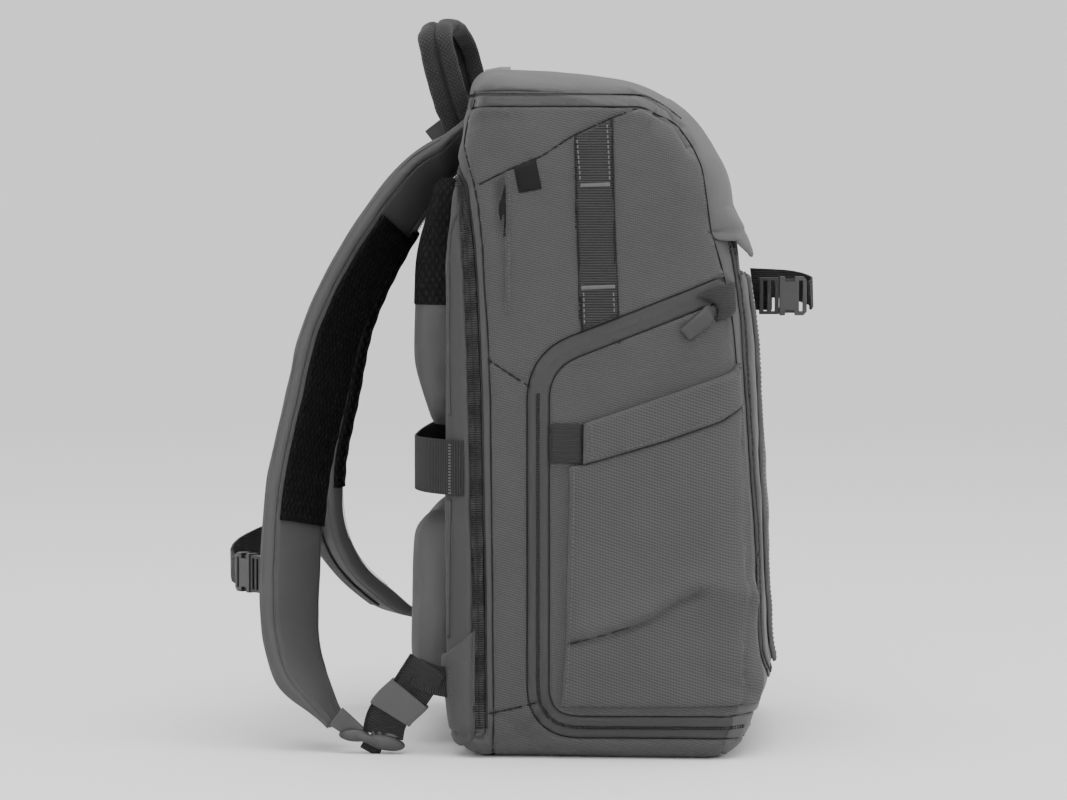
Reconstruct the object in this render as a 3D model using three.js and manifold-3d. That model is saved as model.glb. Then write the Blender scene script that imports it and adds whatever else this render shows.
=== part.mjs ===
// A camera backpack that stands on its base, with padded shoulder straps, a chest strap, a side door,
// stretch pockets and a front pocket with a tripod strap. Millimetres, +Z up. +X points away from the
// wearer's back and -Y to the wearer's left. The origin is the middle of the flat base.
// Tables hold shares: "forward" of BODY_DEPTH along +X, "height" of BODY_HEIGHT, "side" of half of
// BODY_WIDTH, measured from the origin.

import * as THREE from "three";
import { mergeVertices } from "three/addons/utils/BufferGeometryUtils.js";
import Module from "manifold-3d";

const wasm = await Module();
wasm.setup();

// Body
const BODY_HEIGHT = 460;
const BODY_WIDTH = 290;
const BODY_DEPTH = 214;
const SIDE_BULGE = 6;
const WALL = 8;
const GAP = 0.3;

// Zippers, set into slots in the wall
const LID_ZIP_WIDTH = 11;
const BACK_ZIP_WIDTH = 8;
const DOOR_ZIP_WIDTH = 15;
const FRONT_ZIP_WIDTH = 7;
const ZIP_SUNK = 0.6;
const ZIP_THICKNESS = 3;
const PULL_THICKNESS = 2.4;
const TAB_WIDTH = 12;

// Cloth laid on the body
const CLOTH = 1.6;
const POCKET_THICKNESS = 3.4;
const HEM_THICKNESS = 5.2;
const FRONT_POCKET_THICKNESS = 3;
const FRONT_FLAP_THICKNESS = 3.4;
const FRONT_FLAP_WIDTH = 116;
const FRONT_POCKET_WIDTH = 200;
const FRONT_CORNER = 24;
const FLAP_SHORTER = 2;
const SEAM_CLEARANCE = 8;
const HOOD_THICKNESS = 4;
const HOOD_FLARE = 12;
const HOOD_FLARES_FROM = 0.79;
const HOOD_FLARES_TO = 0.72;
const SIDE_WEBBING_WIDTH = 25.5;
const SLOT_FLAP_WIDTH = 4.4;
const LABEL_THICKNESS = 1.2;
const POCKET_TAB_WIDTH = 22;
const POCKET_TAB_THICKNESS = 2.4;
const WING_THICKNESS = 3;
const WING_FROM_PAD = 19;

// Webbing
const WEBBING = 1.6;
const SHOULDER_WEBBING_WIDTH = 33;
const NARROW_WEBBING_WIDTH = 20;
const TROLLEY_WIDTH = 37;
const TROLLEY_THICKNESS = 2.4;
const TROLLEY_REACH = 31;

// Back pads
const UPPER_PAD_THICKNESS = 26;
const LOWER_PAD_THICKNESS = 28;
const PAD_SOFTNESS = 9;
const PAD_CORNER = 18;
const PAD_CORNER_STEPS = 3;
const PAD_MESH = 1.4;

// Shoulder straps
const STRAP_WIDTH = 64;
const STRAP_THICKNESS = 14;
const STRAP_REACH = 110;
const STRAP_TWIST = 27;
const MESH_SHARE = 0.62;
const STRAP_STEPS = 24;
const MESH_FROM_STEP = 3;
const MESH_TO_STEP = 16;
const RAIL_FROM_STEP = 3;
const RAIL_TO_STEP = 22;
const STRAP_TOP_NARROWING = 0.1;
const STRAP_END_NARROWING = 0.22;
const STRAP_END_THINNING = 0.35;

// Grab handle
const HANDLE_WIDTH = 24;
const HANDLE_THICKNESS = 12;
const HANDLE_SPREAD = 48;
const HANDLE_RISE = 33;

// Buckles: a side-release buckle in a socket and a plug, and the plates at the shoulder straps' ends
const BUCKLE_WIDTH = 27;
const BUCKLE_THICKNESS = 7.6;
const BUCKLE_LENGTH = 19;
const BUCKLE_BAR = 3;
const BUCKLE_CHAMFER = 2.5;
const BUCKLE_SHELL = 1.4;
const MOUTH_DEPTH = 12.4;
const TONGUE_THICKNESS = 4.2;
const PRONG_WIDTH = 3.6;
const RELEASE_FROM = 4;
const RELEASE_TO = 10.5;
const PLUG_LENGTH = 14;
const PLUG_THICKNESS = 6;
const PLUG_NARROWER = 0.8;
const STRAP_SLOT = 2.4;
const STRAP_SLOT_PLAY = 0.6;
const LOCK_LENGTH = 45;
const LOCK_DEPTH = 17;
const LOCK_THICKNESS = 6;
const LOCK_MIDDLE_BAR = 3;
const CLIP_THICKNESS = 3.4;
const CLIP_LENGTH = 25;
const CLIP_WIDER = 4;
const CUT_PAST = 1;

// Where the tripod strap's buckle and the chest strap sit, as shares of BODY_DEPTH and BODY_HEIGHT
const TRIPOD_HEIGHT = 0.663;
const TRIPOD_MOUTH = 0.556;
const TRIPOD_SIDE = -0.097;
const CHEST_HEIGHT_LEFT = 0.253;
const CHEST_HEIGHT_RIGHT = 0.304;
const CHEST_BUCKLE_FROM_CLIP = 26;

// How finely round forms are faceted, in radians of turn, and the longest straight facet
const FACET_TURN = 0.5;
const LONGEST_FACET = 120;
const CORNER_STEPS = [0, 30, 60, 90];
const TROLLEY_STEPS = 14;
const HANDLE_STEPS = 16;
const LOOP_STEPS = 10;
const LONGEST_ROUNDING = 0.48;

function material(color, roughness, metalness = 0) {
  return new THREE.MeshStandardMaterial({ color, roughness, metalness, flatShading: true });
}

const MATERIALS = {
  sideCloth: material(0x676767, 0.9),
  coatedCloth: material(0x727272, 0.75),
  webbing: material(0x444444, 0.85),
  zipper: material(0x3a3a3a, 0.7),
  mesh: material(0x1f1f1f, 0.95),
  buckle: material(0x5c5c5c, 0.5),
  rubber: material(0x474747, 0.6),
  metal: material(0x9a9a9a, 0.35, 1),
  label: material(0x303030, 0.8),
};

// The body's outline in the side view, from the base's back corner round by the front. The round
// and edgeIn columns are shares of BODY_DEPTH, edgeAcross is a share of BODY_WIDTH: the outline
// comes in by edgeIn and the surface turns to the side within edgeAcross.
const BODY_CORNERS = [
  { forward: -0.449, height: 0, round: 0.11, edgeIn: 0.065, edgeAcross: 0.06 },
  { forward: 0.402, height: 0, round: 0.11, edgeIn: 0.065, edgeAcross: 0.06 },
  { forward: 0.502, height: 0.109, round: 0.23, edgeIn: 0.17, edgeAcross: 0.17 },
  { forward: 0.486, height: 0.348, round: 0.93, edgeIn: 0.21, edgeAcross: 0.207 },
  { forward: 0.449, height: 0.63, round: 0.7, edgeIn: 0.21, edgeAcross: 0.207 },
  { forward: 0.411, height: 0.761, round: 0.3, edgeIn: 0.2, edgeAcross: 0.24 },
  { forward: 0.393, height: 0.843, round: 0.28, edgeIn: 0.17, edgeAcross: 0.28 },
  { forward: 0.28, height: 0.933, round: 0.37, edgeIn: 0.14, edgeAcross: 0.36 },
  { forward: 0.103, height: 0.985, round: 0.5, edgeIn: 0.11, edgeAcross: 0.43 },
  { forward: -0.187, height: 1, round: 0.5, edgeIn: 0.1, edgeAcross: 0.43 },
  { forward: -0.421, height: 1, round: 0.09, edgeIn: 0.1, edgeAcross: 0.3 },
  { forward: -0.453, height: 0.88, round: 0.23, edgeIn: 0.093, edgeAcross: 0.1 },
  { forward: -0.491, height: 0.717, round: 0.4, edgeIn: 0.093, edgeAcross: 0.076 },
  { forward: -0.491, height: 0.13, round: 0.37, edgeIn: 0.093, edgeAcross: 0.076 },
];
// The middle line that the outline comes in towards, as shares of BODY_HEIGHT
const SPINE_LOW = 0.2;
const SPINE_HIGH = 0.8;
const EDGE_TURNS = [0, 30, 60, 90];
const CAP_SHARES = [0.5];

// Seam lines in the side view, as shares [forward, height]
const LID_ZIP_LINE = [[-0.607, 0.952], [0.131, 0.952], [0.187, 0.937], [0.234, 0.92], [0.276, 0.885]];
const LID_SEAM_LINE = [[0.308, 0.852], [0.322, 0.807], [0.336, 0.761], [0.607, 0.752]];
const BACK_ZIP_LINE = [
  [-0.379, 0.037], [-0.383, 0.23], [-0.388, 0.374], [-0.393, 0.522], [-0.405, 0.661], [-0.416, 0.743],
  [-0.439, 0.826], [-0.472, 0.857], [-0.607, 0.87],
];
const DOOR_CORNERS = [
  { forward: 0.368, height: 0.678, round: 0 },
  { forward: -0.196, height: 0.576, round: 0.18 },
  { forward: -0.196, height: 0.046, round: 0.13 },
  { forward: 0.374, height: 0.046, round: 0 },
];
const DOOR_FRONT_LINE = [[0.411, 0.13], [0.42, 0.326], [0.416, 0.57]];
const HEM_TOP_LINE = [[-0.053, 0.486], [0.4, 0.558], [0.5, 0.603]];
const HEM_LOW_LINE = [[-0.056, 0.427], [0.2, 0.462], [0.36, 0.488], [0.5, 0.53]];
const POCKET_BACK_LINE = [[-0.098, 0.425], [-0.098, 0.374], [-0.106, 0.239], [-0.107, 0.17], [-0.124, 0.078]];
const SIDE_WEBBING_LINE = [[-0.026, 0.908], [-0.017, 0.761], [-0.003, 0.615]];
const SLOT_FLAP_LINE = [[-0.287, 0.843], [-0.287, 0.641]];
const LABEL_OUTLINE = [[-0.27, 0.853], [-0.203, 0.866], [-0.183, 0.822], [-0.254, 0.816]];
const HOOD_OUTLINE = [
  [0.285, 0.826], [0.308, 0.817], [0.327, 0.783], [0.35, 0.748], [0.388, 0.757], [0.453, 0.72],
  [0.75, 0.711], [0.75, 0.826],
];
const WING_OUTLINE = [
  [-0.393, 0.187], [-0.486, 0.148], [-0.561, 0.139], [-0.561, 0.017], [-0.43, 0.017], [-0.393, 0.03],
];
const GARAGE_OUTLINE = [[0.294, 0.63], [0.411, 0.634], [0.411, 0.676], [0.294, 0.668]];
const DOOR_PULL_LINE = [[0.332, 0.659], [0.271, 0.607]];
const METAL_PULL_OUTLINE = [[-0.392, 0.95], [-0.31, 0.95], [-0.31, 1.1], [-0.392, 1.1]];
// The front pocket's and its zipper's heights in the front view
const FRONT_POCKET_LOW = 0.113;
const FRONT_POCKET_TOP = 0.698;
const FRONT_ZIP_TOP = 0.75;
// Where the lid's zippers and its metal pull lie across the bag
const LID_ZIP_FROM_SIDE = 0.72;
const METAL_PULL_SIDES = [-0.262, -0.207];

// The shoulder straps' middle lines: out is a share of STRAP_REACH behind the body's back
const LEFT_STRAP_LINE = [
  { out: -0.035, height: 0.889, side: 0.276 },
  { out: 0.169, height: 0.851, side: 0.29 },
  { out: 0.494, height: 0.743, side: 0.345 },
  { out: 0.741, height: 0.623, side: 0.414 },
  { out: 0.858, height: 0.504, side: 0.483 },
  { out: 0.954, height: 0.389, side: 0.538 },
  { out: 0.985, height: 0.26, side: 0.6 },
  { out: 0.975, height: 0.163, side: 0.648 },
  { out: 0.907, height: 0.107, side: 0.683 },
  { out: 0.764, height: 0.063, side: 0.717 },
  { out: 0.673, height: 0.04, side: 0.738 },
];
const RIGHT_STRAP_LINE = [
  { out: -0.035, height: 0.889, side: 0.276 },
  { out: 0.169, height: 0.851, side: 0.29 },
  { out: 0.494, height: 0.743, side: 0.345 },
  { out: 0.741, height: 0.623, side: 0.414 },
  { out: 0.858, height: 0.504, side: 0.483 },
  { out: 0.954, height: 0.389, side: 0.538 },
  { out: 0.94, height: 0.3, side: 0.57 },
  { out: 0.87, height: 0.252, side: 0.6 },
  { out: 0.77, height: 0.219, side: 0.63 },
  { out: 0.62, height: 0.186, side: 0.67 },
  { out: 0.49, height: 0.162, side: 0.71 },
  { out: 0.33, height: 0.145, side: 0.76 },
];
// Half of a shoulder strap's section, as shares of half its width and half its thickness
const STRAP_SECTION = [
  { across: -1, thick: -0.3 }, { across: -0.88, thick: -0.8 }, { across: -0.45, thick: -1 },
  { across: 0.45, thick: -1 }, { across: 0.88, thick: -0.8 }, { across: 1, thick: -0.3 },
];
// The grab handle's middle line: forward is a share of BODY_DEPTH, rise of HANDLE_RISE above the
// body's top and side of HANDLE_SPREAD
const HANDLE_LINE = [
  { forward: -0.463, rise: -1.27, side: -0.96 },
  { forward: -0.505, rise: -0.45, side: -1.04 },
  { forward: -0.547, rise: 0.55, side: -0.92 },
  { forward: -0.552, rise: 0.85, side: -0.5 },
  { forward: -0.54, rise: 0.93, side: 0 },
  { forward: -0.521, rise: 0.85, side: 0.5 },
  { forward: -0.495, rise: 0.5, side: 0.88 },
  { forward: -0.462, rise: -0.35, side: 0.98 },
  { forward: -0.44, rise: -0.85, side: 0.95 },
];
const HANDLE_ACROSS = [1, 0, 0.25];
// The handle's section has two padded lobes with a groove between them
const HANDLE_SECTION = [
  { across: -1, thick: 0 }, { across: -0.85, thick: 0.8 }, { across: -0.5, thick: 1 },
  { across: -0.15, thick: 0.8 }, { across: 0, thick: 0.45 }, { across: 0.15, thick: 0.8 },
  { across: 0.5, thick: 1 }, { across: 0.85, thick: 0.8 }, { across: 1, thick: 0 },
  { across: 0.85, thick: -0.75 }, { across: -0.85, thick: -0.75 },
];

// Soft back pads: middle and width are shares of half of BODY_WIDTH, lean is how much thinner the
// top is, as a share of the thickness. PAD_LEVELS give the edge's rounding in shares of PAD_SOFTNESS.
const UPPER_PAD = {
  middle: -0.428, low: 0.467, high: 0.845, width: 0.66, thickness: UPPER_PAD_THICKNESS, lean: 0.23,
};
const LOWER_PAD = {
  middle: 0, low: 0.066, high: 0.357, width: 1.31, thickness: LOWER_PAD_THICKNESS, lean: 0.1,
};
const PAD_LEVELS = [
  { soft: 2.8, shrink: 0 }, { soft: 1, shrink: 0 }, { soft: 0.3, shrink: 0.3 }, { soft: 0, shrink: 1.2 },
];
const PAD_MESH_LOW = 0.655;
const PAD_MESH_INSET = 1.4;

// The trolley strap's line: out is a share of TROLLEY_REACH behind the back
const TROLLEY_HEIGHT = 0.4205;
const TROLLEY_LINE = [
  { out: 0.02, side: -0.83 }, { out: 0.3, side: -0.76 }, { out: 0.92, side: -0.6 }, { out: 1, side: -0.3 },
  { out: 1, side: 0.3 }, { out: 0.92, side: 0.6 }, { out: 0.3, side: 0.76 }, { out: 0.02, side: 0.83 },
];

// Lower webbing and the plates at the shoulder straps' ends, with directions as plain vectors
const LEFT_WEBBING_LINE = [
  { forward: -0.47, side: -0.9, height: 0.107 },
  { forward: -0.556, side: -0.9, height: 0.106 },
  { forward: -0.612, side: -0.885, height: 0.09 },
  { forward: -0.664, side: -0.86, height: 0.061 },
  { forward: -0.69, side: -0.835, height: 0.03 },
];
const LEFT_WEBBING_TURN = { start: [0.5, 0.1, -0.86], end: [0.96, 0, -0.28] };
const RIGHT_WEBBING_LINE = [
  { forward: -0.46, side: -0.89, height: 0.12 },
  { forward: -0.525, side: -0.86, height: 0.126 },
  { forward: -0.58, side: -0.83, height: 0.131 },
];
const RIGHT_WEBBING_ACROSS = [0, 0.7, 0.7];
const RIGHT_WEBBING_NARROWER = 0.8;
const KEEPER = { from: 0.42, to: 0.72 };
const LEFT_LOCK = {
  at: { forward: -0.722, side: -0.83, height: 0.022 }, along: [1, 0, 0], width: [0, -0.6, 0.8],
};
const RIGHT_LOCK = {
  at: { forward: -0.597, side: -0.83, height: 0.132 }, along: [0, 1, 1], width: [0.96, -0.2, 0.2],
};

// The tripod strap's loop from the buckle's end, as shares of BODY_DEPTH, and the tab's start and end
const TRIPOD_LOOP = [
  { forward: 0, side: 0, height: 0 },
  { forward: 0.009, side: 0.033, height: 0.009 },
  { forward: -0.005, side: 0.075, height: 0.019 },
  { forward: -0.056, side: 0.117, height: 0.033 },
  { forward: -0.206, side: 0.145, height: 0.042 },
];
const TRIPOD_TAB = [-0.14, -0.023];

// The chest strap's bow between its buckle and the right strap, as shares of its span
const CHEST_DIRECTION = [-0.62, 0.785, 0];
const CHEST_BOW = [
  { out: 0, side: 0, rise: 0 },
  { out: -0.07, side: 0.16, rise: 0.1 },
  { out: -0.1, side: 0.4, rise: 0.35 },
  { out: -0.06, side: 0.7, rise: 0.7 },
];

// The rubber tab that hangs from the back zipper, behind the handle
const TAB_LINE = [
  { forward: -0.425, side: -0.2, height: 0.952 },
  { forward: -0.572, side: -0.2, height: 0.9 },
];
const TAB_ACROSS = [-0.61, 0, 0.79];

// Points and lines in the side view

function spot([forward, height]) {
  return new THREE.Vector2(forward * BODY_DEPTH, height * BODY_HEIGHT);
}

function sideLine(shares) {
  return shares.map(spot);
}

// Corners rounded off by a curve; each point remembers the corner that it came from
function roundedPoints(corners, closed) {
  const places = corners.map((corner) => spot([corner.forward, corner.height]));
  const count = corners.length;
  const points = [];
  corners.forEach((corner, index) => {
    const at = places[index];
    const isEnd = !closed && (index === 0 || index === count - 1);
    if (isEnd) {
      points.push({ at, corner });
      return;
    }
    const back = places[(index + count - 1) % count].clone().sub(at);
    const ahead = places[(index + 1) % count].clone().sub(at);
    const turn = Math.PI - back.angleTo(ahead);
    const longest = LONGEST_ROUNDING * Math.min(back.length(), ahead.length());
    const reach = Math.min(corner.round * BODY_DEPTH * Math.tan(turn / 2), longest);
    const start = at.clone().addScaledVector(back.normalize(), reach);
    const end = at.clone().addScaledVector(ahead.normalize(), reach);
    const curve = new THREE.QuadraticBezierCurve(start, at, end);
    for (const place of curve.getPoints(Math.max(1, Math.ceil(turn / FACET_TURN)))) {
      points.push({ at: place, corner });
    }
  });
  return points;
}

// A line parallel to another, at a distance to its left
function offsetLine(line, distance) {
  return line.map((point, index) => {
    const before = line[Math.max(index - 1, 0)];
    const after = line[Math.min(index + 1, line.length - 1)];
    const arrive = (index > 0 ? point.clone().sub(before) : after.clone().sub(point)).normalize();
    const leave = (index < line.length - 1 ? after.clone().sub(point) : arrive.clone()).normalize();
    const normal = new THREE.Vector2(-arrive.y - leave.y, arrive.x + leave.x);
    const stretch = distance / (1 + arrive.dot(leave));
    return point.clone().addScaledVector(normal, stretch);
  });
}

function rectangle(left, low, right, high) {
  return [[left, low], [right, low], [right, high], [left, high]].map(([x, y]) => new THREE.Vector2(x, y));
}

// The outline of a band of even width along a line
function bandOutline(line, width) {
  return [...offsetLine(line, width / 2), ...offsetLine(line, -width / 2).reverse()];
}

// Solids

function signedVolume(points, triangles) {
  let six = 0;
  const cross = new THREE.Vector3();
  for (let index = 0; index < triangles.length; index += 3) {
    const [a, b, c] = [0, 1, 2].map((corner) => points[triangles[index + corner]]);
    six += a.dot(cross.crossVectors(b, c));
  }
  return six / 6;
}

function solidFrom(points, triangles) {
  const outward = signedVolume(points, triangles) > 0 ? triangles : [...triangles].reverse();
  const vertProperties = Float32Array.from(points.flatMap((point) => point.toArray()));
  const mesh = new wasm.Mesh({ numProp: 3, vertProperties, triVerts: Uint32Array.from(outward) });
  return new wasm.Manifold(mesh);
}

function solidOf(geometry) {
  const bare = geometry.clone();
  bare.deleteAttribute("normal");
  bare.deleteAttribute("uv");
  const merged = mergeVertices(bare, 1e-4);
  const places = merged.attributes.position;
  const points = [];
  for (let index = 0; index < places.count; index += 1) {
    points.push(new THREE.Vector3().fromBufferAttribute(places, index));
  }
  return solidFrom(points, Array.from(merged.index.array));
}

// A closed solid through rings of points, each end closed by a fan round its middle
function loft(rings) {
  const count = rings[0].length;
  const points = rings.flat();
  const triangles = [];
  for (let ring = 0; ring + 1 < rings.length; ring += 1) {
    for (let corner = 0; corner < count; corner += 1) {
      const a = ring * count + corner;
      const b = ring * count + ((corner + 1) % count);
      triangles.push(a, b, a + count, b, b + count, a + count);
    }
  }
  const ends = [{ first: 0, flipped: true }, { first: (rings.length - 1) * count, flipped: false }];
  for (const { first, flipped } of ends) {
    const middle = new THREE.Vector3();
    for (let corner = 0; corner < count; corner += 1) {
      middle.addScaledVector(points[first + corner], 1 / count);
    }
    points.push(middle);
    const centre = points.length - 1;
    for (let corner = 0; corner < count; corner += 1) {
      const a = first + corner;
      const b = first + ((corner + 1) % count);
      triangles.push(...(flipped ? [b, a, centre] : [a, b, centre]));
    }
  }
  return solidFrom(points, triangles);
}

// A prism along Y over an outline drawn in the side view
function prismAcross(outline, fromY, toY) {
  const shape = new THREE.Shape(outline);
  const geometry = new THREE.ExtrudeGeometry(shape, { depth: toY - fromY, bevelEnabled: false });
  geometry.rotateX(Math.PI / 2);
  geometry.translate(0, toY, 0);
  return solidOf(geometry);
}

// A prism along X over an outline drawn in the front view
function prismForward(outline, fromX, toX) {
  const shape = new THREE.Shape(outline);
  const geometry = new THREE.ExtrudeGeometry(shape, { depth: toX - fromX, bevelEnabled: false });
  const [x, y, z] = [new THREE.Vector3(1, 0, 0), new THREE.Vector3(0, 1, 0), new THREE.Vector3(0, 0, 1)];
  geometry.applyMatrix4(new THREE.Matrix4().makeBasis(y, z, x));
  geometry.translate(fromX, 0, 0);
  return solidOf(geometry);
}

function box(from, to) {
  const size = to.clone().sub(from);
  const geometry = new THREE.BoxGeometry(size.x, size.y, size.z);
  const middle = from.clone().add(to).multiplyScalar(0.5);
  geometry.translate(middle.x, middle.y, middle.z);
  return solidOf(geometry);
}

// Places along a curve with the directions of a band's width and thickness
function framesAlong(points, widthDirection, steps, from = 0, to = 1) {
  const curve = new THREE.CatmullRomCurve3(points, false, "centripetal");
  const frames = [];
  for (let step = 0; step <= steps; step += 1) {
    const share = from + ((to - from) * step) / steps;
    const tangent = curve.getTangentAt(share);
    const across = widthDirection(share).clone();
    across.addScaledVector(tangent, -across.dot(tangent)).normalize();
    const out = new THREE.Vector3().crossVectors(across, tangent);
    frames.push({ middle: curve.getPointAt(share), across, out, share });
  }
  return frames;
}

// A solid with one section swept along frames; the section gives [across, out] in millimetres
function sweep(frames, sectionAt) {
  return loft(frames.map((frame) => sectionAt(frame.share).map(([across, out]) => frame.middle.clone()
    .addScaledVector(frame.across, across)
    .addScaledVector(frame.out, out))));
}

function flatSection(width, from, to) {
  return [[-width / 2, from], [width / 2, from], [width / 2, to], [-width / 2, to]];
}

function ribbon(frames, width, thickness) {
  return sweep(frames, () => flatSection(width, -thickness / 2, thickness / 2));
}

function mirrored(solid) {
  return solid.mirror([0, 1, 0]);
}

// The body's surface

function bodyOutline() {
  const rounded = roundedPoints(BODY_CORNERS, true);
  const outline = [];
  rounded.forEach((point, index) => {
    const next = rounded[(index + 1) % rounded.length];
    const parts = Math.ceil(point.at.distanceTo(next.at) / LONGEST_FACET);
    for (let part = 0; part < parts; part += 1) {
      const share = part / parts;
      outline.push({
        at: point.at.clone().lerp(next.at, share),
        edgeIn: THREE.MathUtils.lerp(point.corner.edgeIn, next.corner.edgeIn, share) * BODY_DEPTH,
        edgeAcross: THREE.MathUtils.lerp(point.corner.edgeAcross, next.corner.edgeAcross, share) * BODY_WIDTH,
      });
    }
  });
  return outline;
}

function spinePoint(at) {
  const height = THREE.MathUtils.clamp(at.y, SPINE_LOW * BODY_HEIGHT, SPINE_HIGH * BODY_HEIGHT);
  return new THREE.Vector2(0, height);
}

// One ring round the body, where its edge has turned by an angle from the outline to the side
function edgeRing(outline, side, turn) {
  const rim = BODY_WIDTH / 2 - SIDE_BULGE;
  return outline.map(({ at, edgeIn, edgeAcross }) => {
    const inward = spinePoint(at).sub(at).normalize();
    const place = at.clone().addScaledVector(inward, edgeIn * (1 - Math.cos(turn)));
    return new THREE.Vector3(place.x, side * (rim - edgeAcross * (1 - Math.sin(turn))), place.y);
  });
}

// One ring on the bulging side panel, a share of the way from its rim to its middle
function sideRing(outline, side, share) {
  const bulge = SIDE_BULGE * (1 - (1 - share) ** 2);
  return edgeRing(outline, side, Math.PI / 2).map((rim) => {
    const spine = spinePoint(new THREE.Vector2(rim.x, rim.z));
    const place = new THREE.Vector2(rim.x, rim.z).lerp(spine, share);
    return new THREE.Vector3(place.x, rim.y + side * bulge, place.y);
  });
}

function bodySurface() {
  const outline = bodyOutline();
  const turns = EDGE_TURNS.map(THREE.MathUtils.degToRad);
  const [left, right] = [-1, 1].map((side) => [
    ...turns.map((turn) => edgeRing(outline, side, turn)),
    ...CAP_SHARES.map((share) => sideRing(outline, side, share)),
  ]);
  return solidMesh(loft([...left.reverse(), ...right]));
}

// The points and triangles of a solid, with the points' outward directions
function solidMesh(solid) {
  const geometry = geometryOf(solid);
  const { position, normal } = geometry.attributes;
  const points = [];
  const normals = [];
  for (let index = 0; index < position.count; index += 1) {
    points.push(new THREE.Vector3().fromBufferAttribute(position, index));
    normals.push(new THREE.Vector3().fromBufferAttribute(normal, index));
  }
  return { points, normals, triangles: Array.from(geometry.index.array) };
}

function geometryOf(solid) {
  const mesh = solid.getMesh();
  const geometry = new THREE.BufferGeometry();
  geometry.setAttribute("position", new THREE.BufferAttribute(mesh.vertProperties, mesh.numProp));
  geometry.setIndex(new THREE.BufferAttribute(mesh.triVerts, 1));
  geometry.computeVertexNormals();
  return geometry;
}

const BODY = bodySurface();

// The body grown by a distance, which may change with height
function grownBody(distanceAt) {
  const points = BODY.points.map((point, index) => point.clone()
    .addScaledVector(BODY.normals[index], distanceAt(point.z)));
  return solidFrom(points, BODY.triangles);
}

// What lies between two distances from the body's surface
function layer(from, to) {
  return grownBody(() => to).subtract(grownBody(() => from));
}

const BODY_CLEAR = grownBody(() => GAP);
const WING_CLEAR = grownBody(() => WING_THICKNESS + 2 * GAP);

const FORWARD = new THREE.Vector3(1, 0, 0);
const UP = new THREE.Vector3(0, 0, 1);
const ALL_ACROSS = { from: -BODY_WIDTH, to: BODY_WIDTH };
const LEFT_SIDE = { from: -BODY_WIDTH, to: -BODY_WIDTH / 4 };
const FAR_OUT = BODY_DEPTH;

// A piece of cloth on the body, inside an outline of the side view
function patch(outline, from, to, range) {
  return layer(from, to).intersect(prismAcross(outline, range.from, range.to));
}

// Cloth that lies on one of the body's sides: side is -1 for the left and 1 for the right
function sidePatch(side, outline, thickness, from = GAP, range = LEFT_SIDE) {
  const across = side < 0 ? range : { from: -range.to, to: -range.from };
  return patch(outline, from, from + thickness, across);
}

// Cloth on the body's front, inside an outline of the front view
function frontPatch(outline, from, thickness) {
  return layer(from, from + thickness).intersect(prismForward(outline, 0, FAR_OUT));
}

// A slot through the wall for a seam or a zipper, and the zipper's tape in it
function zipSlot(line, width, range) {
  return prismAcross(bandOutline(line, width), range.from, range.to);
}

function zipTape(line, width, range) {
  return patch(bandOutline(line, width - 2 * GAP), -ZIP_SUNK - ZIP_THICKNESS, -ZIP_SUNK, range);
}

// Straight ends of lines that must leave the body
function behind(height) {
  return new THREE.Vector2(-FAR_OUT, height);
}

function ahead(height) {
  return new THREE.Vector2(FAR_OUT, height);
}

// The padded wall and the panels that are cut from it

const lidZipLine = sideLine(LID_ZIP_LINE);
const lidSeam = sideLine([...LID_ZIP_LINE, ...LID_SEAM_LINE]);
const backZipLine = sideLine(BACK_ZIP_LINE);
const backFoot = backZipLine[0];
const doorZipLine = roundedPoints(DOOR_CORNERS, false).map((point) => point.at);
const doorFront = sideLine(DOOR_FRONT_LINE);
const lidSides = [
  { from: -BODY_WIDTH, to: -LID_ZIP_FROM_SIDE * BODY_WIDTH / 2 },
  { from: LID_ZIP_FROM_SIDE * BODY_WIDTH / 2, to: BODY_WIDTH },
];

function panelSlots() {
  const doorHinge = [doorZipLine.at(-1), ...doorFront, doorZipLine[0]];
  const seams = [
    zipSlot(lidSeam, GAP, ALL_ACROSS),
    zipSlot([behind(backFoot.y), backFoot], GAP, ALL_ACROSS),
    zipSlot(doorHinge, GAP, LEFT_SIDE),
  ];
  const zippers = [
    ...lidSides.map((range) => zipSlot(lidZipLine, LID_ZIP_WIDTH, range)),
    zipSlot(backZipLine, BACK_ZIP_WIDTH, ALL_ACROSS),
    zipSlot(doorZipLine, DOOR_ZIP_WIDTH, LEFT_SIDE),
  ];
  return [...seams, ...zippers].reduce((whole, cut) => whole.add(cut));
}

function panels() {
  const wall = layer(-WALL, 0).subtract(panelSlots());
  const top = BODY_HEIGHT + BODY_DEPTH;
  const lidSpace = prismAcross([...lidSeam, ahead(top), behind(top)], ALL_ACROSS.from, ALL_ACROSS.to);
  const backSpace = prismAcross([...backZipLine, behind(backFoot.y)], ALL_ACROSS.from, ALL_ACROSS.to);
  const doorSpace = prismAcross([...doorZipLine, ...doorFront], LEFT_SIDE.from, LEFT_SIDE.to);
  return {
    lid: wall.intersect(lidSpace),
    back: wall.intersect(backSpace),
    door: wall.intersect(doorSpace),
    main: wall.subtract(lidSpace).subtract(backSpace).subtract(doorSpace),
  };
}

// The hood is sewn on along its top and flares away from the body towards its lower edge
function hood() {
  const low = HOOD_FLARES_TO * BODY_HEIGHT;
  const high = HOOD_FLARES_FROM * BODY_HEIGHT;
  const lift = (z) => GAP + HOOD_FLARE * THREE.MathUtils.clamp((high - z) / (high - low), 0, 1);
  const cloth = grownBody((z) => lift(z) + HOOD_THICKNESS).subtract(grownBody(lift));
  return cloth.intersect(prismAcross(sideLine(HOOD_OUTLINE), ALL_ACROSS.from, ALL_ACROSS.to));
}

// Front pocket, its zipper and the flap over it

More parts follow.
